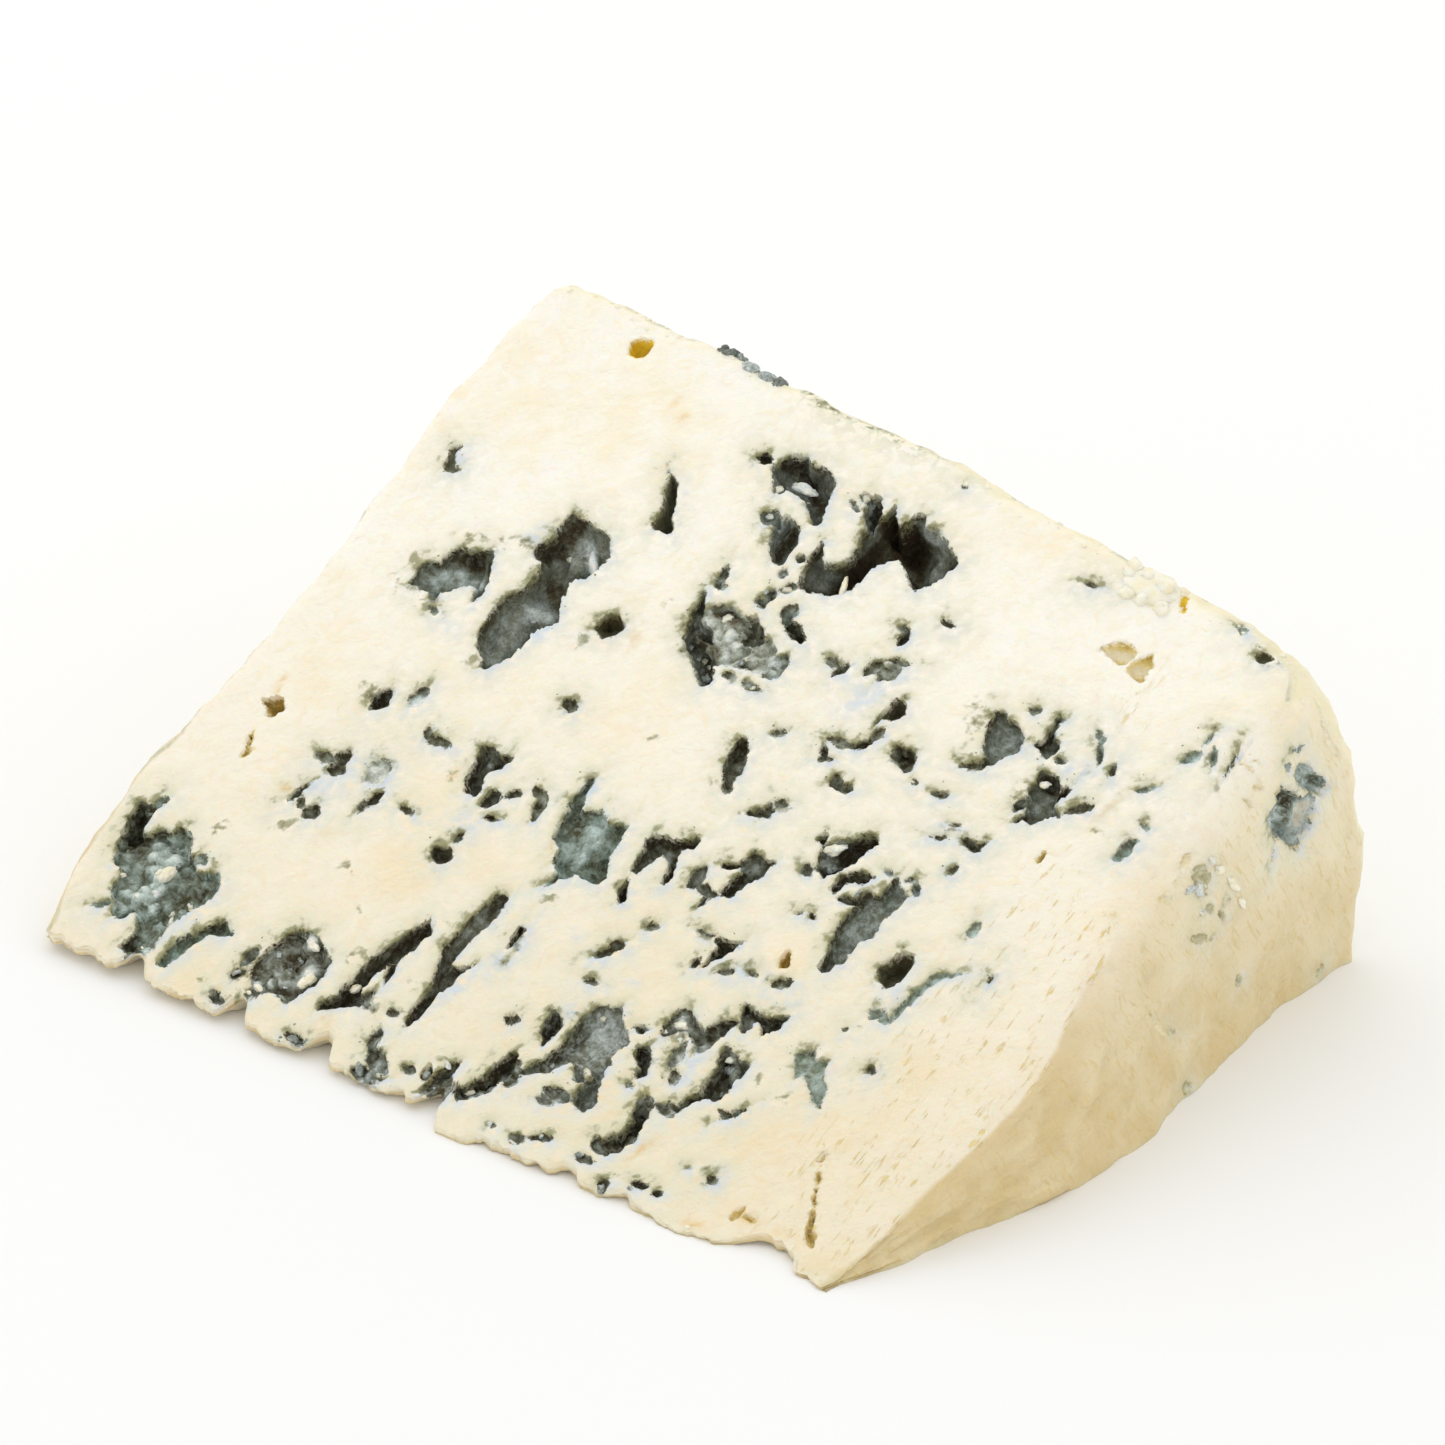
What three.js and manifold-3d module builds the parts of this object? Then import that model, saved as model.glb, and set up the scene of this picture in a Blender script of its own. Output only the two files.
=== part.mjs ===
// Wedge of blue cheese, cut from a wheel and lying on one of its two cut faces.
// Millimetres, +Z up. X runs along the wheel's axis, Y from the wedge's sharp edge out to the
// wheel's rim. The far end is at -X, the near end at +X.
import * as THREE from "three";
import { ImprovedNoise } from "three/addons/math/ImprovedNoise.js";
import { mergeVertices } from "three/addons/utils/BufferGeometryUtils.js";
import Module from "manifold-3d";

const wasm = await Module();
wasm.setup();

// The wheel and the cut
const WHEEL_HEIGHT = 112; // between the wheel's two flat faces, along X
const SLOPE_FAR = 0.5685; // rise of the upper cut face, just under 30 degrees
const SLOPE_NEAR = 0.4833; // the near end is cut a little thinner, just under 26 degrees
const EDGE_TOP_FAR = 3.0; // height of the upper face where Y is 0
const EDGE_TOP_NEAR = 0.5;
const RIM_FAR = 97.8; // rim radius at the wheel's two faces
const RIM_NEAR = 90.6;
const RIM_BARREL = 2.2; // the rim stands out this much halfway along the wheel
const RIM_CROWN = 2.2; // and this much halfway up the slice
const CORNER_ROUND = 2.4; // the rim's upper corners pull in where they meet the wheel's faces
const CORNER_REACH = 0.93; // share of the half height where that starts

// The wheel's flat faces, slightly swollen
const NEAR_SWELL = { low: 7.0, high: 4.8, lowAt: 36, highAt: 26, lowWide: 26, highWide: 17 };
const FAR_SWELLS = [
  { out: 3.6, at: 15, wide: 15 },
  { out: 1.4, at: 67, wide: 9 },
  { out: 0.9, at: 45, wide: 45 },
];
const SWELL_POWER = 4; // how fast the swelling dies away inside the wheel
const END_TUCK = 1.4; // the faces pull in where they reach the sharp edge
const END_TUCK_WIDE = 4;

// The sharp edge: ragged, thin and hanging clear of the table, except at the near corner
const EDGE_OUT = -1.4;
const EDGE_LIP = 1.1; // the lip's rise along the middle of the edge
const EDGE_LIP_AT = 18;
const EDGE_LIP_WIDE = 28;
const EDGE_LIP_OUT = 1.5;
const EDGE_LIP_FADE = 3.5;
const EDGE_THICK = 1.3;
const EDGE_LEAST = 0.6;
const UNDERCUT = 7; // how far in the lower face starts to rise
const SETTLED = 1.5; // the lower face is pressed flat to this depth where it lies on the table
const NEAR_CORNER_RESTS = [49, 52];
const NICKS = [
  // place along X, half width, depth (less than 0 stands out)
  [-43, 1.9, 2.6],
  [-28.2, 1.6, 2.0],
  [-17.2, 2.2, 1.2],
  [-6.8, 2.4, -1.0],
  [0.4, 1.9, 3.0],
  [5.5, 3.2, -1.3],
  [12.5, 3.4, -0.5],
  [28.4, 1.6, 1.2],
  [37.5, 3.0, -0.5],
  [46.5, 4.6, 2.3],
];
const RAGGED = 0.7;
const RAGGED_SPACING = 2.3;

// Low waves of the broken and pressed faces
const CUT_WAVE = 0.3;
const END_WAVE = 0.7;
const RIM_WAVE = 0.8;
const WAVE_SPACING = 8;
const LAYER = { cut: 1.5, rim: 4.5, edge: 7.5, near: 9.5, far: 12.5 }; // one wave pattern each
const AXIS_CELLS = 32;
const RADIAL_CELLS = 22;
const HEIGHT_CELLS = 4;

// Openings in the upper cut face, most of them grown over with blue mould.
// Each row is one lobe: X, Y, half length, half width, turn from X in degrees, depth.
const OPENINGS = {
  greatCave: [
    [1.6, 72.3, 4.6, 2.1, 75, 12],
    [5.4, 75.4, 4.6, 2.0, -14, 10],
    [9.6, 73.2, 2.7, 1.5, -62, 8],
    [-1.4, 77.0, 1.9, 1.3, 30, 4],
    [-1.8, 67.9, 2.5, 1.9, 15, 6],
  ],
  curdStrips: [
    [-13.4, 76.7, 2.7, 1.4, 5, 8],
    [-9.3, 77.2, 2.6, 1.2, -30, 5],
    [-7.7, 74.3, 2.6, 0.9, -65, 6],
    [-8.3, 69.4, 2.7, 1.2, -65, 6],
  ],
  twinLobes: [
    [-32.0, 59.2, 3.4, 2.4, 75, 7],
    [-28.2, 60.4, 2.7, 1.6, -35, 4],
    [-30.4, 55.2, 2.4, 1.9, 90, 5],
    [-31.2, 49.6, 4.7, 3.0, 95, 6],
    [-30.4, 45.4, 2.7, 1.9, 100, 4],
    [-28.2, 51.3, 2.3, 1.1, -30, 4],
  ],
  leftHook: [
    [-41.2, 52.4, 3.3, 1.9, 20, 7],
    [-37.9, 51.2, 2.3, 1.0, -60, 4],
    [-43.4, 49.6, 3.0, 1.5, 10, 3],
  ],
  slit: [[-24.0, 67.4, 4.2, 1.2, -49, 6]],
  loneHoles: [
    [-40.2, 81.4, 1.6, 1.4, -10, 6],
    [-51.3, 62.0, 2.0, 1.3, -60, 3],
    [-20.1, 52.7, 1.7, 1.5, 30, 4],
    [21.9, 53.1, 1.8, 1.2, -70, 3.5],
    [-38.9, 35.3, 1.6, 1.3, 90, 3],
    [-50.4, 30.0, 1.9, 1.5, 0, 4],
    [37.4, 32.1, 2.2, 1.8, 60, 6],
    [34.9, 74.1, 2.0, 1.2, 25, 3],
    [38.5, 73.6, 1.6, 1.4, -60, 3],
    [51.3, 54.8, 2.0, 1.2, 80, 2.5],
    [4.5, 45.0, 3.1, 1.2, 105, 3.5],
    [18.1, 26.3, 2.6, 0.9, 62, 4.5],
  ],
  broodCluster: [
    [-11.4, 57.6, 3.5, 1.0, -75, 4],
    [-8.2, 55.0, 2.9, 1.1, -18, 7],
    [-5.7, 52.5, 2.3, 0.9, -45, 4],
    [-9.0, 58.9, 2.0, 1.0, 10, 3],
    [-3.9, 58.3, 1.6, 1.3, -20, 6],
    [-12.4, 62.2, 2.4, 0.9, -60, 2.5],
    [-0.8, 61.0, 2.5, 0.9, -25, 3.5],
    [0.8, 56.1, 1.8, 1.4, 75, 2.5],
  ],
  rightLeaf: [
    [29.7, 59.7, 2.8, 2.6, 90, 4.5],
    [30.5, 57.0, 1.7, 1.4, 70, 3.5],
    [34.9, 61.2, 1.9, 1.3, -10, 3],
    [38.7, 57.3, 2.1, 1.4, -30, 4],
    [39.3, 54.5, 2.2, 1.4, 15, 2.5],
  ],
  tornPair: [
    [24.0, 42.2, 2.6, 1.4, 55, 7],
    [22.9, 39.5, 2.1, 1.1, 60, 5],
    [20.5, 39.6, 2.5, 0.9, -55, 3],
    [25.9, 38.4, 1.9, 1.5, 80, 3],
    [31.3, 38.2, 3.4, 2.3, 80, 4],
    [30.1, 34.0, 3.8, 2.0, 85, 5],
    [30.2, 30.5, 2.2, 1.3, 100, 4],
    [41.4, 31.2, 2.8, 1.0, 85, 1.6],
  ],
  middleRow: [
    [-22.4, 32.8, 3.0, 1.2, -75, 5],
    [-9.2, 35.0, 2.6, 1.1, -70, 3],
    [-7.8, 32.2, 2.8, 2.0, -50, 4.5],
    [-4.3, 31.8, 3.3, 2.7, 0, 4],
    [-4.2, 28.6, 3.2, 1.7, 10, 3],
    [-1.2, 28.4, 1.8, 1.5, -30, 5],
    [2.7, 32.9, 2.4, 1.5, 75, 5],
    [5.0, 35.0, 2.4, 1.0, 20, 4],
    [6.6, 32.6, 2.2, 0.9, -80, 3],
    [14.7, 36.2, 2.1, 1.4, 10, 4],
    [14.4, 33.3, 1.9, 1.1, 60, 4],
  ],
  lowerRight: [
    [12.9, 13.4, 3.6, 2.8, -20, 4],
    [9.4, 9.8, 3.8, 1.3, 65, 4],
    [15.7, 8.6, 3.2, 1.4, -75, 3.5],
    [7.0, 11.6, 2.0, 1.2, 100, 5],
    [18.9, 12.7, 2.8, 1.1, -62, 5],
    [19.9, 17.5, 3.1, 1.6, -10, 2.5],
    [24.2, 18.2, 2.6, 1.3, 60, 5],
    [28.4, 14.5, 3.4, 1.8, 95, 7],
    [22.0, 14.6, 2.3, 1.8, 90, 2.5],
    [22.8, 6.6, 2.5, 1.1, -75, 5],
    [23.7, 4.2, 2.0, 1.3, 60, 6],
    [36.4, 19.4, 2.1, 1.3, -60, 2],
    [38.7, 18.1, 2.6, 1.1, -40, 2.2],
  ],
  channels: [
    [-16.8, 10.4, 6.4, 1.7, 73, 7],
    [-9.3, 20.2, 2.0, 1.3, 85, 5],
    [-9.9, 16.9, 2.9, 1.2, 83, 3.5],
    [-10.1, 13.4, 2.1, 1.2, 85, 3.5],
    [-8.3, 12.7, 2.3, 1.0, 50, 2.5],
    [-8.8, 8.3, 2.9, 1.0, 87, 2.5],
    [-0.5, 1.8, 2.7, 1.4, 80, 2.5],
    [4.9, 4.4, 3.1, 1.3, 75, 3],
  ],
  mouldyBasins: [
    [-55.3, 12.8, 3.5, 1.3, 100, 6],
    [-53.7, 9.6, 2.7, 1.3, -45, 7],
    [-49.8, 9.4, 4.9, 3.8, -20, 4],
    [-43.3, 9.4, 3.1, 2.0, 0, 4],
    [-44.9, 6.0, 2.8, 2.4, 90, 4],
    [-44.7, 2.6, 2.3, 2.0, 100, 2.5],
    [-51.3, 5.4, 2.3, 1.6, -30, 2.5],
    [-39.5, 2.8, 2.5, 1.1, 68, 2],
    [-26.4, 6.4, 4.8, 3.6, 30, 4],
    [-31.1, 3.6, 1.7, 1.3, 70, 2],
  ],
};
const LOBE_SIDES = 5; // sides of a lobe of no size, and what each millimetre of half length adds
const LOBE_SIDES_EACH = 1.2;
const LOBE_RINGS = 4;
const WALL_STEEP = 0.62; // under 1 gives steep walls and a flatter floor
const LOBE_UNEVEN = 0.26;
const LOBE_GRAIN = 1.6;
const LEAN = 0.22; // the openings run down towards -X
const DEEPEST = 0.62; // of the cheese's own thickness there, so that no opening goes through

// Curds left standing on the floors of the wider openings: X, Y, half size, top below the face.
const CURDS = [
  [-51.2, 10.6, 1.7, 1.3],
  [-47.7, 8.6, 1.8, 1.1],
  [-49.0, 11.8, 1.4, 1.0],
  [-50.2, 6.6, 1.5, 1.3],
  [-28.6, 7.6, 1.2, 1.4],
  [-24.4, 8.4, 1.3, 1.2],
  [-23.4, 5.6, 1.3, 1.0],
  [-27.4, 3.9, 1.3, 1.7],
  [-10.4, 75.4, 1.3, 1.4],
  [-0.8, 74.6, 1.2, 1.2],
  [22.6, 15.4, 1.3, 1.2],
  [21.4, 13.2, 1.2, 1.1],
  [12.2, 8.2, 1.5, 1.0],
  [22.1, 41.2, 1.3, 1.0],
];
const CURD_FLAT = 0.8;
const CURD_ROOT = 2.4; // half the height of a curd, which is rooted in the floor
const CURD_SUNK = 0.7; // how far a curd reaches below that floor
const CURD_TURN = 40;

// The crack that parts the near corner from the sharp edge, and its wider mouth
const CRACKS = [
  [46.9, 7.8, 5.6, 0.45, -62, 3.2],
  [49.8, 2.4, 2.7, 0.9, -52, 2.4],
];

// Openings in the near end: Y, Z, half length, half width, turn from Y in degrees, depth
const END_OPENINGS = [
  [76.0, 26.2, 1.9, 1.4, 60, 4],
  [77.3, 22.4, 3.4, 1.7, -55, 3],
  [79.0, 28.4, 2.0, 1.4, -60, 2],
  [81.3, 25.2, 2.0, 0.9, -30, 2],
  [58.4, 25.6, 2.2, 0.9, 40, 1.6],
  [61.6, 20.6, 3.0, 1.3, -50, 1.4],
  [50.2, 10.6, 3.2, 0.7, -55, 1.2],
];

// Growths on the rim's upper edge: X, half size
const RIM_GROWTHS = [
  [-30.6, 1.1],
  [-28.4, 0.9],
  [-26.2, 1.2],
  [-23.3, 1.4],
  [31.6, 2.4],
];
const GROWTH_FLAT = 0.75;
const GROWTH_RISE = 0.55;
const GROWTH_TURN = 25;
const GROWTH_INSET = 0.5;

const SEED_STEP = 1.37;

const noise = new ImprovedNoise();
const half = WHEEL_HEIGHT / 2;

function mix(from, to, share) {
  return from + (to - from) * share;
}

function smooth(from, to, value) {
  return THREE.MathUtils.smoothstep(value, from, to);
}

function bell(value, at, wide) {
  return Math.exp(-(((value - at) / wide) ** 2));
}

function along(x) {
  return THREE.MathUtils.clamp((x + half) / WHEEL_HEIGHT, 0, 1);
}

function wave(a, b, layer) {
  return noise.noise(a / WAVE_SPACING, b / WAVE_SPACING, layer);
}

function edgeLip(x) {
  return bell(x, EDGE_LIP_AT, EDGE_LIP_WIDE);
}

function edgeY(x) {
  const nicks = NICKS.reduce((sum, [at, wide, deep]) => sum + deep * bell(x, at, wide), 0);
  const ragged = RAGGED * noise.noise(x / RAGGED_SPACING, LAYER.cut, LAYER.edge);
  return EDGE_OUT - EDGE_LIP_OUT * edgeLip(x) + nicks + ragged;
}

function upperFace(x, y) {
  const slope = mix(SLOPE_FAR, SLOPE_NEAR, along(x));
  const flat = mix(EDGE_TOP_FAR, EDGE_TOP_NEAR, along(x)) + slope * y;
  const lip = EDGE_LIP * edgeLip(x) * Math.exp(-Math.max(y - EDGE_OUT, 0) / EDGE_LIP_FADE);
  return flat + lip + CUT_WAVE * wave(x, y, LAYER.cut);
}

function lowerFace(x, y) {
  const edge = edgeY(x);
  const hangs = 1 - smooth(NEAR_CORNER_RESTS[0], NEAR_CORNER_RESTS[1], x);
  const lift = Math.max(upperFace(x, edge) - EDGE_THICK, 0) * hangs;
  const clear = 1 - smooth(edge, edge + UNDERCUT, y);
  return lift * clear - SETTLED * (1 - clear * hangs);
}

function rimY(x, share, rise) {
  const radius = mix(RIM_FAR, RIM_NEAR, along(x)) + RIM_BARREL * (1 - share ** 2);
  const crown = RIM_CROWN * (1 - (2 * rise - 1) ** 2);
  const corner = CORNER_ROUND * smooth(CORNER_REACH, 1, Math.abs(share)) ** 2 * rise ** 2;
  const angle = Math.atan(rise * mix(SLOPE_FAR, SLOPE_NEAR, along(x)));
  const rough = RIM_WAVE * wave(x, rise * half, LAYER.rim);
  return (radius + crown - corner + rough) * Math.cos(angle);
}

function endSwell(share, y, rise) {
  const tuck = END_TUCK * bell(y, EDGE_OUT, END_TUCK_WIDE);
  const rough = END_WAVE * wave(y, rise * half, share > 0 ? LAYER.near : LAYER.far);
  if (share < 0) {
    return FAR_SWELLS.reduce((sum, s) => sum + s.out * bell(y, s.at, s.wide), 0) + rough - tuck;
  }
  const s = NEAR_SWELL;
  const at = mix(s.lowAt, s.highAt, rise);
  const wide = mix(s.lowWide, s.highWide, rise);
  return mix(s.low, s.high, rise) * bell(y, at, wide) + rough - tuck;
}

// share: -1 to 1 along the wheel's axis. out: 0 at the sharp edge to 1 at the rim.
// rise: 0 on the lower face to 1 on the upper face.
function wedgePoint(share, out, rise) {
  const flatX = share * half;
  const y = mix(edgeY(flatX), rimY(flatX, share, rise), out);
  const x = flatX + Math.sign(share) * Math.abs(share) ** SWELL_POWER * endSwell(share, y, rise);
  const low = lowerFace(flatX, y);
  const high = Math.max(upperFace(flatX, y), low + EDGE_LEAST);
  return new THREE.Vector3(x, y, mix(low, high, rise));
}

function asSolid(geometry) {
  geometry.deleteAttribute("normal");
  geometry.deleteAttribute("uv");
  const merged = mergeVertices(geometry, 1e-4);
  const mesh = new wasm.Mesh({
    numProp: 3,
    vertProperties: new Float32Array(merged.attributes.position.array),
    triVerts: new Uint32Array(merged.index.array),
  });
  return new wasm.Manifold(mesh);
}

// Everything under the table's top, which presses the lower face flat.
function table() {
  const size = WHEEL_HEIGHT * 2;
  return asSolid(new THREE.BoxGeometry(size, size, size).translate(0, 0, -size / 2));
}

function wedgeBody() {
  const box = new THREE.BoxGeometry(2, 1, 1, AXIS_CELLS, RADIAL_CELLS, HEIGHT_CELLS);
  const points = box.attributes.position;
  for (let i = 0; i < points.count; i++) {
    const p = wedgePoint(points.getX(i), points.getY(i) + 0.5, points.getZ(i) + 0.5);
    points.setXYZ(i, p.x, p.y, p.z);
  }
  return asSolid(box).subtract(table());
}

// An uneven lobe of unit size: steep walls, a flattened floor, leaning as it goes down.
function lobe(halfLength, halfWidth, depth, turn, seed) {
  const sides = Math.round(LOBE_SIDES + LOBE_SIDES_EACH * halfLength);
  const ball = new THREE.SphereGeometry(1, sides, LOBE_RINGS).rotateX(Math.PI / 2);
  const points = ball.attributes.position;
  const angle = THREE.MathUtils.degToRad(turn);
  for (let i = 0; i < points.count; i++) {
    const p = new THREE.Vector3().fromBufferAttribute(points, i);
    const g = LOBE_GRAIN;
    const swell = 1 + LOBE_UNEVEN * noise.noise(p.x * g + seed, p.y * g, p.z * g + seed);
    const steep = Math.sign(p.z) * Math.abs(p.z) ** WALL_STEEP;
    const ring = Math.hypot(p.x, p.y);
    const wide = ring > 0 ? ring ** (WALL_STEEP - 1) : 0;
    const flat = new THREE.Vector3(p.x * wide * halfLength, p.y * wide * halfWidth, 0);
    flat.applyAxisAngle(new THREE.Vector3(0, 0, 1), angle).multiplyScalar(swell);
    const down = steep * depth;
    points.setXYZ(i, flat.x + LEAN * Math.min(down, 0), flat.y, down);
  }
  return ball;
}

function upperFrame(x, y) {
  const step = 0.5;
  const z = upperFace(x, y);
  const ex = new THREE.Vector3(2 * step, 0, upperFace(x + step, y) - upperFace(x - step, y));
  const ey = new THREE.Vector3(0, 2 * step, upperFace(x, y + step) - upperFace(x, y - step));
  const ez = ex.clone().cross(ey).normalize();
  ex.normalize();
  ey.crossVectors(ez, ex);
  return new THREE.Matrix4().makeBasis(ex, ey, ez).setPosition(x, y, z);
}

function nearFrame(y, z) {
  const x = half + endSwell(1, y, z / upperFace(half, y));
  const basis = new THREE.Matrix4().makeBasis(
    new THREE.Vector3(0, 1, 0),
    new THREE.Vector3(0, 0, 1),
    new THREE.Vector3(1, 0, 0),
  );
  return basis.setPosition(x, y, z);
}

function thickness(x, y) {
  return upperFace(x, y) - Math.max(lowerFace(x, y), 0);
}

function upperOpening([x, y, halfLength, halfWidth, turn, depth], seed) {
  const deep = Math.min(depth, DEEPEST * thickness(x, y));
  return asSolid(lobe(halfLength, halfWidth, deep, turn, seed).applyMatrix4(upperFrame(x, y)));
}

function endOpening([y, z, halfLength, halfWidth, turn, depth], seed) {
  return asSolid(lobe(halfLength, halfWidth, depth, turn, seed).applyMatrix4(nearFrame(y, z)));
}

function curd(x, y, size, below, seed) {
  const root = Math.min(CURD_ROOT, (DEEPEST * thickness(x, y) - below + CURD_SUNK) / 2);
  const ball = lobe(size, size * CURD_FLAT, root, seed * CURD_TURN, seed);
  return asSolid(ball.applyMatrix4(upperFrame(x, y)).translate(0, 0, -below - root));
}

function growth(x, size, seed) {
  const y = rimY(x, x / half, 1) - size * GROWTH_INSET;
  const ball = lobe(size, size * GROWTH_FLAT, size * GROWTH_RISE, seed * GROWTH_TURN, seed);
  return asSolid(ball.applyMatrix4(upperFrame(x, y)));
}

let cheese = wedgeBody();
let seed = 0;
const nextSeed = () => (seed += SEED_STEP);
for (const row of [...Object.values(OPENINGS).flat(), ...CRACKS]) {
  cheese = cheese.subtract(upperOpening(row, nextSeed()));
}
for (const row of END_OPENINGS) {
  cheese = cheese.subtract(endOpening(row, nextSeed()));
}
for (const [x, y, size, below] of CURDS) {
  cheese = cheese.add(curd(x, y, size, below, nextSeed()));
}
for (const [x, size] of RIM_GROWTHS) {
  cheese = cheese.add(growth(x, size, nextSeed()));
}

const made = cheese.getMesh();
const geometry = new THREE.BufferGeometry();
geometry.setAttribute("position", new THREE.BufferAttribute(made.vertProperties, 3));
geometry.setIndex(new THREE.BufferAttribute(made.triVerts, 1));
geometry.computeBoundingBox();
const middle = geometry.boundingBox.getCenter(new THREE.Vector3());
geometry.translate(-middle.x, -middle.y, -geometry.boundingBox.min.z);
geometry.computeVertexNormals();

const cheeseWedge = new THREE.Mesh(
  geometry,
  new THREE.MeshStandardMaterial({ color: 0xf3e9cf, roughness: 0.5, metalness: 0 }),
);
cheeseWedge.name = "cheese_wedge";

const part = new THREE.Group();
part.name = "blue_cheese_wedge";
part.add(cheeseWedge);

export default part;
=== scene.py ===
import math
import random

import bmesh
import bpy
import numpy as np
from mathutils import Matrix, Vector, noise
from mathutils.bvhtree import BVHTree


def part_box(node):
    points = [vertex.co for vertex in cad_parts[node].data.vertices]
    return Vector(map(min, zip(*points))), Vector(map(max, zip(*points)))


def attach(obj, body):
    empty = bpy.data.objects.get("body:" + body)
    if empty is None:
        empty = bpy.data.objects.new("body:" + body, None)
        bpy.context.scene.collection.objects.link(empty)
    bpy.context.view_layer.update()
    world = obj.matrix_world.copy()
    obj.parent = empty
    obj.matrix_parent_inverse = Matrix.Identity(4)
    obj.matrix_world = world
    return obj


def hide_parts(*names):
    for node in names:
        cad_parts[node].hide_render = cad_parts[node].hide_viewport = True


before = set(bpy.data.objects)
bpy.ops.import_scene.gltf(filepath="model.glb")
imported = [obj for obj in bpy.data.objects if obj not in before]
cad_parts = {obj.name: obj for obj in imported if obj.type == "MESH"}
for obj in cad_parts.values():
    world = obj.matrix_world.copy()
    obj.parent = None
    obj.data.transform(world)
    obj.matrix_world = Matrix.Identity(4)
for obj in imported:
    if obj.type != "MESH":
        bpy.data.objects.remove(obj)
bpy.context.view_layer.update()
mm = 0.001  # shapes are worked out in millimetres, meshes are in metres


def mix(start, end, share):
    return start + (end - start) * share


def smooth(start, end, value):
    t = np.clip((value - start) / (end - start), 0, 1)
    return t * t * (3 - 2 * t)


def bell(value, at, wide):
    return np.exp(-(((value - at) / wide) ** 2))


def ripple(x, y, z, size, octaves=1):
    # Soft noise from about -1 to 1, with bumps of that size in mm. A plain number for z picks the pattern.
    x, y, z = np.broadcast_arrays(x, y, z)
    spots = zip((x / size).tolist(), (y / size).tolist(), (z / size).tolist())
    return np.array([noise.fractal(spot, 1.0, 2.0, octaves) for spot in spots])


def newObject(name, bm, material):
    mesh = bpy.data.meshes.new(name)
    bm.to_mesh(mesh)
    bm.free()
    mesh.materials.append(material)
    obj = bpy.data.objects.new(name, mesh)
    bpy.context.scene.collection.objects.link(obj)
    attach(obj, "root")
    return obj


def srgb(hexColour):
    values = [int(hexColour[i:i + 2], 16) / 255 for i in (1, 3, 5)]
    return tuple(v / 12.92 if v <= 0.04045 else ((v + 0.055) / 1.055) ** 2.4 for v in values) + (1.0,)


def addNode(tree, kind, settings=None, links=None):  # one node, its settings and what feeds it
    node = tree.nodes.new(kind)
    for name, value in (settings or {}).items():
        if isinstance(name, int) or name in node.inputs:
            node.inputs[name].default_value = value
        else:
            setattr(node, name, value)
    for name, source in (links or {}).items():
        tree.links.new(source, node.inputs[name])
    return node


# The wheel and the cut: X along the wheel's axis, Y out from the sharp edge, Z up, in millimetres.
wheel = {
    "half": 56.0,  # half the height between the wheel's flat faces
    "slope": (0.5685, 0.4833),  # rise of the upper cut face at the far and the near end
    "edgeTop": (3.0, 0.5),  # how high that face is at the sharp edge, also at the far and the near end
    "rim": (97.8, 90.6),  # how far out the rim is, at the far and the near end
    "barrel": 2.2,  # the rim stands out by this half way between the ends
    "crown": 2.2,  # and by this half way up
    "cornerPull": 2.4,  # the rim's upper corners are worn in by this
    "cornerFrom": 0.93,  # from this share of the half length on
    "rimRough": (0.9, 8.0),  # how far, how wide
    "middle": (1.3169, 47.7647),  # from the wheel's axis frame to the part's origin
    "corner": 1.7,  # radius worn on the corners of the cut
    "shoulder": 2.2,  # more of it where the near end meets the upper face
    "cornerUneven": (0.35, 5.0),  # share of that radius, how wide
    "cornerMost": 0.25,  # of the thickness
}
edge = {
    "out": -1.5,  # where the edge lies, out from the wheel's axis
    "lip": (1.1, 18.0, 28.0),  # the edge curls up here: rise, place, width
    "lipOut": 1.2,  # and stands out by this
    "lipFade": 3.5,  # mm in from the edge over which the curl dies out
    "thick": 0.95,  # of the edge, where it hangs clear of the floor
    "thickUneven": (0.45, 3.0),  # share of it, how wide
    "least": 0.5,  # thickness anywhere
    "undercut": 7.0,  # mm in from the edge where the lower face meets the floor
    "settled": 1.5,  # how firmly it does
    "cornerRests": (49.0, 52.0),  # from here on the edge rests on the floor
    "ragged": ((0.8, 2.6), (0.45, 0.9), (0.14, 0.35)),  # how far, how wide
    "torn": ((0.35, 1.4), (0.12, 0.4)),  # the same, up the broken edge
    "nicks": (  # place, half width, depth
        (-43.6, 1.6, 2.6), (-28.4, 1.4, 2.4), (-16.2, 1.7, 2.9), (-3.8, 1.6, 0.9), (0.3, 1.7, 2.6),
        (4.8, 2.6, -1.7), (20.6, 1.7, 1.3), (27.6, 1.3, 0.9), (36.0, 3.6, -0.5), (46.8, 4.4, 2.9),
    ),
}
swell = {  # how the two ends stand out
    "near": {"low": 7.0, "high": 4.8, "lowAt": 36, "highAt": 26, "lowWide": 26, "highWide": 17},
    "far": ((3.6, 15, 15), (1.4, 67, 9), (0.9, 45, 45)),  # how far, place, width
    "power": 4,  # how near the ends the swelling stays
    "tuck": (1.4, 4.0),  # the ends draw in at the sharp edge: how far, how wide
    "rough": (0.7, 8.0),  # how far, how wide
}


def along(x):
    return np.clip((x + wheel["half"]) / (2 * wheel["half"]), 0, 1)


def cutSlope(x):
    return mix(*wheel["slope"], along(x))


def edgeLip(x):
    return bell(x, *edge["lip"][1:])


def edgeLine(x):
    line = edge["out"] - edge["lipOut"] * edgeLip(x)
    for at, wide, deep in edge["nicks"]:
        line = line + deep * np.exp(-(np.abs((x - at) / wide) ** 3))
    for i, (far, wide) in enumerate(edge["ragged"]):
        line = line + far * np.abs(ripple(x, 1.5, 7.5 + i, wide))
    return line


def edgeTorn(x, rise):
    return sum(far * ripple(x, 2.5 * rise, 31.5 + i, wide) for i, (far, wide) in enumerate(edge["torn"]))


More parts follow.
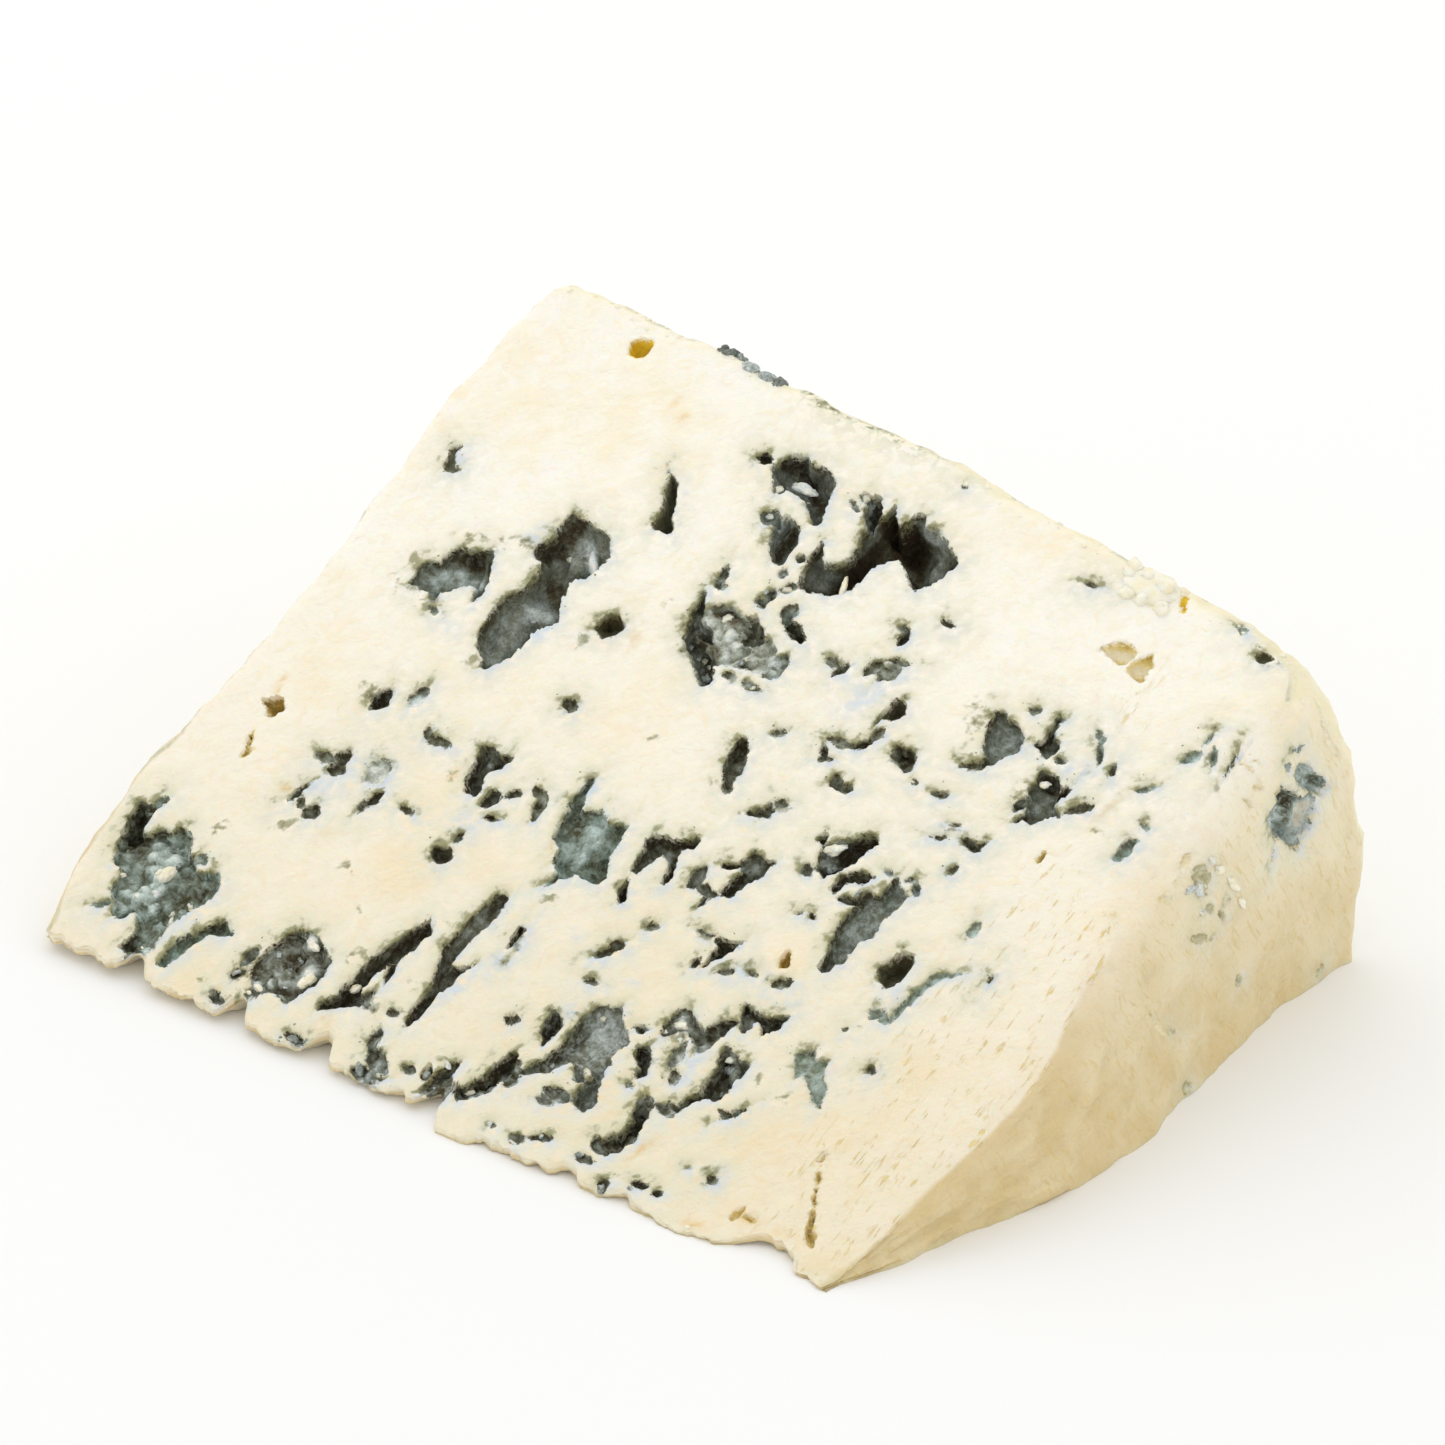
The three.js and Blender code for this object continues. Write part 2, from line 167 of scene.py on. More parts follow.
def upperFace(x, y):
    flat = mix(*wheel["edgeTop"], along(x)) + cutSlope(x) * y
    return flat + edge["lip"][0] * edgeLip(x) * np.exp(-np.maximum(y - edge["out"], 0) / edge["lipFade"])


def lowerFace(x, y):
    line = edgeLine(x)
    hangs = 1 - smooth(*edge["cornerRests"], x)
    uneven, wide = edge["thickUneven"]
    thick = edge["thick"] * (1 + uneven * ripple(x, 5.5, 2.5, wide, 2))
    lift = np.maximum(upperFace(x, line) - thick, 0) * hangs
    clear = 1 - smooth(line, line + edge["undercut"], y)
    return np.maximum(lift * clear - edge["settled"] * (1 - clear * hangs), 0)


def rimLine(x, share, rise):
    radius = mix(*wheel["rim"], along(x)) + wheel["barrel"] * (1 - share ** 2)
    crown = wheel["crown"] * (1 - (2 * rise - 1) ** 2)
    corner = wheel["cornerPull"] * smooth(wheel["cornerFrom"], 1, np.abs(share)) ** 2 * rise ** 2
    angle = np.arctan(rise * cutSlope(x))
    far, wide = wheel["rimRough"]
    rough = far * ripple(x, rise * wheel["half"], 4.5, wide, 4)
    return (radius + crown - corner + rough) * np.cos(angle)


def endSwell(share, y, rise):
    tuck = swell["tuck"][0] * bell(y, edge["out"], swell["tuck"][1])
    near = swell["near"]
    high, size = swell["rough"]
    at = mix(near["lowAt"], near["highAt"], rise)
    wide = mix(near["lowWide"], near["highWide"], rise)
    nearOut = mix(near["low"], near["high"], rise) * bell(y, at, wide)
    farOut = sum(out * bell(y, at, wide) for out, at, wide in swell["far"])
    rough = high * ripple(y, rise * wheel["half"], np.where(share > 0, 9.5, 12.5), size, 4)
    return np.where(share > 0, nearOut, farOut) + rough - tuck


def wedgePoints(share, out, rise):  # a point from its shares: -1 to 1 along, 0 to 1 outwards, 0 to 1 up
    flatX = wheel["half"] * share
    line = edgeLine(flatX) + edgeTorn(flatX, rise) * smooth(0.03, 0.0, out)
    deep = rimLine(flatX, share, rise) - line
    y = line + deep * out
    thick = np.maximum(upperFace(flatX, y) - lowerFace(flatX, y), edge["least"])
    worn = wheel["corner"] + wheel["shoulder"] * smooth(0.8, 1, share) * smooth(0.5, 1, rise)
    uneven, wide = wheel["cornerUneven"]
    worn = worn * (1 + uneven * ripple(flatX, y, rise * 20, wide, 2))
    r = np.minimum(worn, wheel["cornerMost"] * thick)
    ax = np.clip(r - wheel["half"] * (1 - np.abs(share)), 0, r)  # how far each point is into a corner
    ay = np.clip(r - deep * (1 - out), 0, r)
    az = np.clip(r - thick * (1 - rise), 0, r)
    reach = np.sqrt(ax ** 2 + ay ** 2 + az ** 2)
    pull = np.minimum(1, r / np.maximum(reach, 1e-6))
    share = np.where(ax > 0, np.sign(share) * (1 - (r - ax * pull) / wheel["half"]), share)
    out = np.where(ay > 0, 1 - (r - ay * pull) / deep, out)
    rise = np.where(az > 0, 1 - (r - az * pull) / thick, rise)
    flatX = wheel["half"] * share
    y = line + deep * out
    x = flatX + np.sign(share) * np.abs(share) ** swell["power"] * endSwell(share, y, rise)
    low = lowerFace(flatX, y)
    high = np.maximum(upperFace(flatX, y), low + edge["least"])
    return np.stack([x, y, mix(low, high, rise)], -1)


# Openings in the paste, in millimetres on the upper cut face.
# look: how far grown over with mould, greener mould, yellow walls, powdery white bloom, lumpy walls
# tone: the lining's mould colour with painted shade and light in it, 0 is the brown black of a shaded pocket,
# 0.5 slate, 1 a pale bloom. tilt: the share of the depth on the upper left side
# outlines: depth, tilt, points. rows: X, Y, half length, half width, turn from X in degrees, depth
# parts lie inside: X, Y, half length, half width, turn, depth, tone
lookNames = ("mould", "teal", "ochre", "pale", "lumpy")
openings = {
    "greatCave": {"look": (1, 0, 0.05, 0, 0.15), "tone": 0.16,
     "outlines": [(9, 0.5, ((-4.5, 70.8), (-3.8, 69.5), (-2.6, 68.6), (-0.9, 69.5), (-0.3, 70.4), (-0.6, 72),
       (-1, 73.1), (-0.7, 74.5), (0.1, 76.4), (0.4, 77.6), (1.3, 76.4), (2.6, 75.6), (3, 77), (3.3, 78.3),
       (4.3, 78.1), (5.1, 77), (6.8, 77.3), (8.3, 76.4), (10.1, 75.8), (11.3, 75), (11, 73.2), (10.2, 71.4),
       (9.1, 70.1), (7.9, 70.8), (6.3, 72), (4.8, 72.6), (3.8, 71.7), (2.7, 70.1), (2.7, 68.3), (2.2, 67),
       (1, 66.1), (0.1, 65.6), (-1.5, 65.3), (-3.2, 65.1), (-4, 66.4), (-4.6, 68.9)))],
     "parts": [(4.4, 74.5, 4.4, 1.2, -22, 9, -0.1), (2, 69.4, 0.9, 2.8, 0, 7, -0.08),
      (0.2, 72.5, 0.9, 2.2, 0, 5, 0.42), (-2, 67.3, 1.9, 1.6, 0, 3, 0.55), (9.9, 73.6, 1.1, 2, 20, 3, 0.5),
      (-0.4, 70.4, 1, 1.6, 0, 4, 0.4), (6.6, 76.5, 2.4, 0.6, -15, 1.8, 0.72),
      (-3.9, 68.6, 0.4, 1.8, 15, 3, 0.2)]},
    "caveBloom": {"look": (0.9, 0, 0, 0.25, 0.9), "tone": 0.62,
     "rows": [(-1.6, 76, 2.2, 0.9, 115, 1.8), (-3.4, 77.1, 0.9, 0.5, 0, 1), (-4.1, 75.7, 1, 0.3, -15, 1),
      (-5.4, 68, 0.6, 0.5, 0, 0.6), (-6.1, 65.9, 0.8, 0.5, -30, 1)]},
    "curdStrips": {"look": (1, 0.1, 0, 0.1, 0.3), "tone": 0.4,
     "outlines": [(6, 0.5, ((-15.7, 76.7), (-14.9, 77.8), (-13.2, 78.5), (-12, 77.6), (-10.2, 78.3),
       (-8.7, 77.6), (-7.7, 76.7), (-7.1, 74.8), (-6.3, 72.3), (-7, 72), (-8.4, 73.2), (-9.9, 74),
       (-11.5, 74.2), (-12.8, 74.2), (-12.9, 73.4), (-14, 73.6), (-14.9, 74.8), (-15.9, 75.8))),
      (5, 0.4, ((-10.4, 71.8), (-9, 71.4), (-7.9, 71.1), (-7.3, 69.5), (-6.9, 68.2), (-7.1, 66.5),
       (-8.2, 66.5), (-9.2, 67.3), (-10.1, 68.2), (-10.9, 69.5)))],
     "rows": [(-17.4, 76.3, 1.2, 0.7, 0, 2), (-11.9, 70.7, 1.4, 0.9, 0, 1.6)],
     "parts": [(-13.7, 76.8, 1.6, 0.7, 0, 6, 0), (-9, 74.9, 2.4, 0.5, -28, 5, 0.03),
      (-8.6, 76.8, 1.6, 0.6, -45, 2, 0.3), (-7.9, 68.9, 0.6, 2, 5, 5, 0.02),
      (-9.8, 70, 0.9, 1.5, 0, 1.2, 0.62), (-11.9, 70.7, 0.9, 0.6, 0, 1.3, 0.66),
      (-17.1, 76.3, 0.7, 0.5, 0, 2, 0.1), (-14.2, 74.3, 0.8, 0.5, -30, 1.2, 0.5)]},
    "twinLobes": {"look": (1, 0.1, 0, 0.05, 0.15), "tone": 0.4,
     "outlines": [(6.5, 0.22, ((-33.7, 62.2), (-32.6, 61.8), (-31.2, 62), (-30, 61.5), (-28.4, 61.8),
       (-27.3, 61.1), (-26.1, 59.8), (-25.7, 59.1), (-26.2, 58.2), (-26.3, 57.2), (-26.8, 56.4),
       (-27.8, 55.8), (-28.1, 55), (-27.6, 53.2), (-26.8, 52), (-26.2, 50.4), (-27.3, 49.7), (-28.1, 48.6),
       (-27.8, 47.6), (-28.1, 45.8), (-29, 44.2), (-29.7, 42.9), (-30.8, 42.9), (-31.2, 43.9), (-32.8, 44.8),
       (-33.7, 45.9), (-34, 47.9), (-34.2, 49.8), (-33.7, 51.4), (-32.5, 52.6), (-32.2, 54.5), (-32.9, 55.8),
       (-34.5, 56.2), (-34.8, 57.3), (-33.7, 58.6), (-33.8, 60.4)))],
     "parts": [(-32, 58.9, 2.6, 1.1, 82, 6.5, -0.1), (-33.3, 60.4, 1.7, 0.5, 78, 2, 0.34),
      (-32.4, 57.1, 1.7, 0.6, 0, 5, 0.05), (-29.7, 58.6, 2.6, 0.7, 105, 2.2, 0.5),
      (-27.7, 60.3, 1.9, 0.7, -40, 1.6, 0.36), (-27.6, 58.4, 1.7, 0.5, -45, 0.5, 1.15),
      (-28.7, 57, 0.9, 0.6, 60, 1.8, 0.4), (-30.2, 55.4, 1.1, 1.6, 90, 4, 0.26),
      (-28.4, 53.1, 2.3, 0.7, -37, 4.5, 0), (-28.7, 50.7, 2, 0.8, 0, 1.6, 0.76),
      (-32.2, 51, 1.2, 2.4, 0, 2, 0.36), (-30.8, 47.2, 1.9, 2.1, 0, 2.4, 0.48),
      (-33.2, 47.6, 0.5, 2, 10, 1.5, 0.22), (-30.3, 44.2, 0.9, 1.1, 0, 1.8, 0.48)]},
    "leftHook": {"look": (1, 0.3, 0, 0.1, 0.45), "tone": 0.4,
     "outlines": [(5.5, 0.25, ((-43.3, 53.4), (-41.7, 53.9), (-40.4, 54.5), (-39, 54.8), (-38.1, 53.6),
       (-37.3, 52), (-36.6, 50.1), (-37, 48.6), (-37.5, 49.5), (-38.1, 50.3), (-39, 50.3), (-39.8, 49.7),
       (-40.4, 48.9), (-41.4, 48.1), (-41.5, 46.9), (-42.6, 47.9), (-44.2, 47.8), (-45.6, 47.9),
       (-45.8, 49.5), (-45.4, 50.8), (-44, 51.2), (-43.9, 52.5)))],
     "rows": [(-34.9, 37.2, 1.5, 0.9, 80, 0.7), (-38.8, 35.3, 1.5, 1.1, 85, 2.8),
      (-40.4, 46.2, 0.6, 0.4, 0, 0.8)],
     "parts": [(-40.1, 52.8, 1.9, 0.9, -18, 6, -0.08), (-43, 52, 1.4, 1, 55, 2.5, 0.24),
      (-41.9, 49.7, 1.8, 0.9, 20, 2, 0.74), (-44.5, 49.2, 1.3, 1.1, 0, 1.2, 0.4),
      (-43.8, 49, 0.5, 0.6, 0, 1.5, 0.15), (-37.7, 51.2, 2.4, 0.4, -64, 1.6, 0.55),
      (-38.7, 50.2, 1.3, 0.45, 12, 0.5, 1.12), (-38.5, 35.2, 0.8, 1.1, 0, 3, 0.08),
      (-34.6, 36.6, 0.8, 0.6, 60, 0.5, 0.95)]},
    "greenSlits": {"look": (0.9, 0.4, 0.3, 0, 0.1), "tone": 0.36,
     "outlines": [(5, 0.5, ((-26.9, 70.9), (-25.4, 70.1), (-24, 69), (-23.2, 67.3), (-22.3, 65.9),
       (-21, 64.8), (-21.8, 64.3), (-24, 64.4), (-24.5, 67), (-25.6, 68.9))),
      (1.6, 0.6, ((-52.6, 62.9), (-51.5, 63.8), (-51.2, 62.3), (-50.6, 61.3), (-49.4, 61.3), (-50.4, 60.7),
       (-51.5, 60.5), (-52.1, 61.7))),
      (5.5, 0.6, ((35.3, 31.6), (36.7, 34.2), (38, 34.5), (39, 33.4), (38.5, 32.6), (38.8, 31.8),
       (38.6, 30.6), (37.7, 30.1), (36.4, 30.4))),
      (4, 0.6, ((15.8, 58.6), (17.3, 58.7), (18, 57.5), (17.3, 56.2), (16.3, 56.1), (16, 54.5),
       (15.7, 56.4)))],
     "rows": [(-20.1, 52.7, 1.7, 1.4, 30, 3.5), (49.9, 79.8, 1, 0.8, 0, 1.8)],
     "parts": [(-24.7, 67.6, 2.7, 0.3, -62, 1, 0.5), (-19.7, 52.7, 1, 1, 0, 3.5, 0.06),
      (36.3, 32.6, 1.4, 0.5, 55, 1.8, 0.36), (37.8, 32.4, 0.9, 1.4, 10, 5.5, 0.06),
      (16.2, 57.6, 0.5, 1, 0, 2, 0.42), (17.2, 57.5, 0.7, 0.9, 0, 4, 0.08)]},
    "amberHoles": {"look": (0, 1, 1, 0, 0), "tone": 0.6,
     "outlines": [(5, 0.6, ((-41.6, 81.5), (-40.9, 82.5), (-39.8, 82.8), (-38.7, 82.4), (-39, 81.2),
       (-38.9, 80.6), (-39.7, 80.1), (-40.8, 80.4)))],
     "rows": [(37.5, 81.7, 1.5, 0.35, -59, 0.9)],
     "parts": [(-40.2, 82.3, 1.2, 0.5, 0, 1, 1), (-39.6, 81, 1, 0.8, 0, 2.2, 0.85)]},
    "bareHoles": {"look": (0, 0, 1, 0, 0.1), "tone": 0.6,
     "outlines": [(4, 0.7, ((-51.8, 30.1), (-50.4, 30.9), (-49.5, 31.1), (-48.7, 30.1), (-49.6, 28.7),
       (-50.7, 29.4))),
      (2.6, 0.4, ((32.7, 73.2), (33.6, 74.2), (35.5, 75), (36.5, 74.6), (36.6, 73.2), (36, 72.4),
       (34.9, 72.4), (33.6, 72.9))),
      (2.6, 0.4, ((37, 73.2), (38.2, 74.9), (39.3, 73.9), (39.7, 71.7), (38, 71.6), (37, 72.3))),
      (3, 0.6, ((25, 29.6), (25.7, 29), (26.4, 27.9), (25.5, 27.2), (24.6, 27.8)))],
     "rows": [(-49.7, 25.6, 1.5, 0.3, -70, 1.4), (-49, 24.3, 0.9, 0.3, 60, 1.2),
      (43.2, 49.6, 0.4, 0.9, 0, 2)],
     "parts": [(-50.1, 30, 1.4, 1, 0, 4, 0.22), (34.9, 74.4, 1.6, 0.6, 20, 1.5, 0.5),
      (35.1, 73.2, 1.6, 0.6, 10, 1.6, 1.1), (38.6, 74, 0.7, 0.8, 0, 1.2, 0.55),
      (38.4, 72.6, 1.1, 0.7, 0, 1.6, 1.1), (25.4, 28.3, 0.8, 1, 0, 3, 0.25),
      (-49.4, 25, 0.5, 1.4, 15, 1.5, 0.2)]},
    "broodBase": {"look": (0.9, 0.2, 0.15, 0.25, 1), "tone": 0.68,
     "outlines": [(1, 0.6, ((-11.6, 57.8), (-10.8, 59.8), (-8.8, 60.2), (-6.6, 59.6), (-5.2, 60.4),
       (-4.2, 59.6), (-5, 58), (-4.6, 56.6), (-3.4, 55.6), (-4.2, 54.4), (-5.8, 53.6), (-7.6, 54.2),
       (-9.6, 55.2), (-11, 56.2))),
      (0.8, 0.6, ((-3.4, 57.6), (-2.2, 58.4), (-0.8, 57.4), (0.4, 56), (-0.4, 54.8), (-1.8, 54.6),
       (-2.6, 55.8)))]},
    "broodCluster": {"look": (1, 0.3, 0.12, 0.15, 0.9), "tone": 0.5,
     "outlines": [(4.5, 0.5, ((-13.1, 60.8), (-12.4, 60.1), (-11.5, 58.6), (-11.2, 56.4), (-10.2, 55.4),
       (-8.7, 55.9), (-7.1, 55.3), (-6.2, 53.9), (-4.8, 52), (-4.8, 51.2), (-5.9, 51.2), (-7.1, 52.2),
       (-8.4, 53.1), (-10.2, 53.9), (-11.5, 55), (-12.2, 56.7), (-12.6, 58.9)))],
     "rows": [(-8.4, 58.9, 1.7, 0.5, 8, 2.2), (-4.4, 58.4, 1.9, 1.2, -10, 4), (0.8, 56.2, 1.6, 1.3, 75, 1.4),
      (-0.3, 60.7, 2.2, 0.75, -20, 2.8), (-12.2, 62.8, 0.6, 1.4, 10, 1.4), (-5.6, 63, 0.6, 1.1, 0, 2.2),
      (-6, 61.8, 0.8, 0.5, 0, 1.4), (-7.6, 57.1, 1.9, 1.1, -15, 1.1), (-3, 55, 1.7, 0.5, 10, 0.9),
      (-2.3, 62.3, 1, 0.9, 0, 0.7), (-9.9, 57.8, 0.9, 1.2, 0, 1), (-4, 56.4, 1, 0.8, 0, 1.2),
      (-4.2, 64.6, 0.9, 0.6, 40, 1.2), (-11.5, 61.6, 0.9, 0.4, 0, 0.8), (-1.2, 57.9, 1.3, 0.5, -30, 0.8),
      (-0.2, 53.2, 1.3, 0.5, 0, 0.8), (-3.4, 53.2, 0.9, 0.4, 0, 0.8)],
     "parts": [(-8, 55.1, 1.7, 0.55, -12, 4.5, 0), (-5.7, 52.6, 1.5, 0.4, -50, 3, 0.08),
      (-12, 57.2, 0.4, 1.9, 0, 2, 0.22), (-3.6, 58.4, 1, 0.9, 0, 4, 0.06),
      (-5.4, 58.4, 0.6, 1, 0, 1.4, 0.42), (-7.8, 57, 1.7, 0.9, -20, 1, 0.78),
      (0.4, 60.4, 1.3, 0.5, -25, 2.8, 0.12), (-1.6, 61.2, 1.2, 0.5, -20, 1.2, 0.62),
      (0.7, 56.2, 0.8, 0.8, 0, 0.9, 0.78), (-8.4, 58.9, 1.4, 0.35, 8, 2, 0.12)]},
    "smallPits": {"look": (1, 0.2, 0.2, 0.1, 0.6), "tone": 0.34,
     "rows": [(7.9, 59, 1.2, 0.6, 70, 2), (6.4, 59.4, 1, 0.6, 0, 0.7), (11.8, 65, 1.2, 0.6, 95, 2.6),
      (10.9, 65.9, 0.7, 0.4, 0, 1), (11.1, 60.6, 1.4, 0.8, 65, 1.6), (12.4, 60.2, 0.9, 0.3, 95, 1.4),
      (13.3, 62.3, 1.4, 0.4, 10, 1.4), (13.2, 60.9, 1.3, 1, 20, 0.6), (15.3, 68.4, 0.9, 0.4, -8, 1.2),
      (26.8, 78.9, 1.1, 0.35, 12, 1.2), (-17.8, 43.2, 1.2, 0.7, -25, 1.2), (43.3, 56.3, 1.6, 0.7, 35, 1),
      (4.3, 45.2, 2.9, 1.2, 112, 2.6), (5.6, 42.3, 0.8, 0.4, -20, 1.4), (10.9, 41.3, 1.6, 0.5, 30, 2),
      (11.6, 41.9, 1, 0.4, 100, 1.4), (12.6, 43.2, 0.8, 0.5, 0, 0.8), (6.5, 50, 0.9, 0.4, 25, 1),
      (12.6, 50.2, 1, 0.4, -45, 1.5), (13.5, 49.6, 0.9, 0.3, 20, 1.2), (16.2, 52.5, 1.3, 0.5, 40, 1.8),
      (13.8, 51.8, 1.6, 0.5, 10, 0.7), (16.9, 54.2, 0.7, 0.9, 0, 0.8), (21.9, 53.1, 1.6, 1, -60, 2.6),
      (20.4, 53.4, 1, 0.9, 0, 0.9), (16.4, 47.9, 1.1, 0.7, -35, 1.8), (18, 47.6, 0.8, 0.6, 20, 1.8),
      (28.1, 51.3, 1.2, 0.45, 12, 1.2), (24.6, 51.2, 0.5, 0.3, 0, 0.7), (5.8, 82.9, 0.4, 0.25, 0, 1),
      (-29, 33.9, 1.8, 0.5, 5, 1.1), (-30.9, 34.3, 0.5, 0.5, 0, 0.6), (-38, 28.3, 0.9, 0.9, 0, 1.4),
      (-37.7, 26.7, 1.1, 0.8, 20, 1.6), (-40, 27.4, 1.4, 0.7, 0, 0.7), (-32.6, 29.1, 1.2, 0.4, -35, 1.2),
      (-31, 25.6, 0.6, 1, -10, 1.8), (-31.8, 24.3, 0.5, 0.8, 10, 0.7), (-26.6, 25.8, 1.2, 0.4, -5, 1),
      (-39.9, 23, 1.6, 0.45, 62, 1.8), (-38.8, 22, 0.8, 0.4, -40, 0.9), (-36.9, 21.5, 1.1, 1, 0, 1.6),
      (-33, 28, 1.7, 1.1, -30, 0.35), (-16.5, 32.1, 1, 0.5, 30, 1.5), (-16.8, 28.9, 1.1, 0.3, 10, 1.2),
      (-12.7, 31.9, 1.7, 0.7, -72, 1.4), (-13.6, 33.4, 1.4, 0.5, -15, 1), (-18.7, 25.5, 0.6, 0.7, 0, 1.2),
      (-19.2, 23.1, 1.4, 1, -10, 3), (2, 10.5, 0.9, 0.6, 0, 1), (6.4, 21.4, 1.7, 0.6, 52, 1.8),
      (6.9, 22.4, 0.9, 0.4, 0, 1.4), (7, 17.6, 1.1, 0.4, 0, 0.9), (32.3, 11.2, 1.5, 0.4, 50, 1.4),
      (31.4, 11, 0.9, 0.3, -10, 0.7), (42.8, 21.3, 0.6, 0.5, 0, 1.2), (24.7, 33.7, 0.5, 0.3, 0, 1),
      (23.1, 33.4, 0.4, 0.25, 20, 0.9), (35.2, 47.6, 1.4, 0.5, -12, 1.5), (36.4, 48.2, 0.8, 0.3, 60, 1),
      (31.3, 47, 1, 0.3, 20, 0.7), (31.8, 49, 0.8, 0.3, 10, 0.6), (27, 25.9, 1.2, 0.7, 30, 0.9),
      (23.2, 25.5, 0.8, 0.4, 0, 0.7), (20.3, 24.6, 1, 0.5, 20, 0.9), (35.3, 44.4, 0.5, 0.7, 0, 0.6),
      (43.5, 61.4, 0.9, 0.3, -65, 1.4), (54.4, 68, 1, 0.15, 95, 0.5), (29, 55.5, 1.6, 0.5, 15, 0.8),
      (31, 63.8, 0.7, 0.4, 30, 0.8), (35.6, 4, 0.8, 0.5, -20, 0.8), (47.7, 35.3, 0.2, 0.7, 5, 0.8),
      (37.1, 24.2, 0.4, 0.25, 0, 0.5), (32.1, 4.2, 0.3, 0.2, -20, 0.6), (9.1, 25.5, 0.7, 0.5, 40, 0.6)],
     "parts": [(4.1, 46, 0.9, 1.6, 15, 2.2, 0.2), (5, 45, 0.7, 1.6, 15, 1.8, 0.42),
      (13.4, 61.4, 1.2, 0.8, 30, 0.8, 0.75), (11, 60.8, 0.7, 0.8, 0, 1.2, 0.4),
      (-37.9, 27.6, 0.7, 1.2, 0, 1.4, 0.3), (-33, 28, 1.6, 1, -30, 0.3, 0.95),
      (22.4, 53.2, 0.9, 1, 0, 2.4, 0.12), (35.1, 47.8, 1.5, 0.5, -10, 1.2, 0.4)]},
    "middleRow": {"look": (1, 0.1, 0.05, 0.1, 0.45), "tone": 0.3,
     "outlines": [(4, 0.5, ((-23.7, 35.4), (-22.8, 35.8), (-21.5, 35.4), (-19.8, 35.7), (-19.9, 34.2),
       (-20.9, 33.4), (-21, 32.3), (-20.2, 30.4), (-22.1, 30.3), (-23.1, 32), (-23.5, 33.9))),
      (4, 0.5, ((1.4, 34.2), (2.6, 34.6), (4.8, 35.2), (7.1, 36.1), (6.9, 34.8), (5.8, 34.2), (6.3, 32.9),
       (6.9, 31.4), (7.2, 30.2), (6.4, 30), (6, 31.7), (5.2, 32.6), (4.3, 32.9), (3.7, 31.7), (3, 30),
       (2.2, 30.2), (1.8, 31.7))),
      (3, 0.5, ((2.7, 29.1), (3.3, 28.2), (4.2, 26.5), (3.5, 26.2), (2.5, 27.6))),
      (3.5, 0.45, ((12.7, 35.3), (13.7, 37.4), (15.1, 37.2), (16.7, 37.4), (16.3, 35.4), (15.4, 34.2),
       (14.8, 31.8), (13.1, 31.6), (13.5, 33.9), (14, 35.1))),
      (3.5, 0.6, ((19.8, 28.4), (18.2, 27.4), (16, 27.6), (17.5, 26.5), (17.3, 23.5), (18.2, 25.1),
       (19.2, 26.7)))],
     "rows": [(-18.5, 30.6, 1.3, 0.9, 80, 2.4), (9.6, 32.4, 1.5, 0.9, 85, 1.6),
      (11.7, 31.4, 1.6, 0.45, -10, 1.6), (12.3, 30.2, 0.8, 0.3, 90, 1.4), (14.9, 27.3, 0.9, 0.3, 0, 0.8),
      (16.4, 24.1, 0.5, 0.6, 0, 1.6), (12.2, 34.9, 1, 0.4, 20, 1)],
     "parts": [(-22.7, 32.6, 0.6, 2.4, 18, 3, 0.1), (-21.6, 34.2, 0.5, 1.2, 10, 1.2, 0.52),
      (-20.3, 34.6, 0.4, 0.9, 0, 3.5, 0.1), (2.7, 32.3, 0.9, 1.9, 0, 3, 0.26), (5, 34.4, 2, 0.6, 20, 4, 0.1),
      (6.6, 31.6, 0.3, 1.4, 10, 2, 0.16), (5.3, 31.8, 0.5, 1, 10, 0.8, 0.85),
      (3.6, 27, 0.5, 0.9, 20, 2.8, 0.14), (2.8, 27.6, 0.3, 0.9, 15, 1, 0.42),
      (14.6, 35.9, 1.4, 0.8, 10, 1.6, 0.45), (13.2, 36.6, 0.5, 0.8, 0, 1.8, 0.2),
      (14.2, 32.8, 0.7, 1.2, -10, 3.2, 0.12), (9.6, 32.6, 0.6, 1.2, 0, 1.2, 0.5),
      (18.4, 26, 0.5, 1.6, -18, 3.5, 0.1), (-18.5, 30.6, 0.7, 1, 0, 2, 0.3)]},
    "tealLeaf": {"look": (1, 0.7, 0, 0.2, 0.35), "tone": 0.6,
     "outlines": [(3.6, 0.3, ((-9.8, 37), (-9, 37.4), (-8.7, 35.4), (-7.9, 33.6), (-6.8, 33.9), (-5.6, 34.6),
       (-4.2, 33.4), (-2.8, 34), (-1.7, 34.3), (-1.4, 32.3), (-1.2, 30.4), (0.1, 28.2), (-0.1, 27.4),
       (-1.5, 27.3), (-2.8, 27.2), (-3.7, 26.4), (-4.9, 26), (-5.7, 24.9), (-5.2, 26.7), (-6.8, 27.2),
       (-7.1, 28.9), (-8.8, 29.7), (-9.4, 32.3), (-9.8, 34.5)))],
     "rows": [(-5.3, 25.4, 0.8, 0.3, 40, 1)],
     "parts": [(-7.4, 32, 1.9, 1.2, -48, 1.6, 0.26), (-9, 35.4, 0.5, 1.8, 8, 1, 0.42),
      (-4.6, 32, 1.3, 1.6, 0, 1.4, 0.78), (-2.2, 33, 0.6, 1.3, 0, 2, 0.28),
      (-1.1, 28.4, 1.3, 0.9, -20, 3.6, 0.14), (-5.5, 29, 1.2, 0.9, 0, 1.6, 0.66),
      (-3.8, 28.8, 0.5, 0.8, 0, 1, 0.86), (-3.4, 27.6, 1.4, 0.4, 10, 1.8, 0.4),
      (-2.6, 30.3, 0.6, 1.2, 0, 1.8, 0.5)]},
    "rightLeaf": {"look": (1, 0.25, 0, 0.1, 0.3), "tone": 0.42,
     "outlines": [(3.6, 0.2, ((27.2, 62), (28, 62.4), (28.8, 61.8), (30.2, 61.8), (31.4, 61.2), (32.4, 60.4),
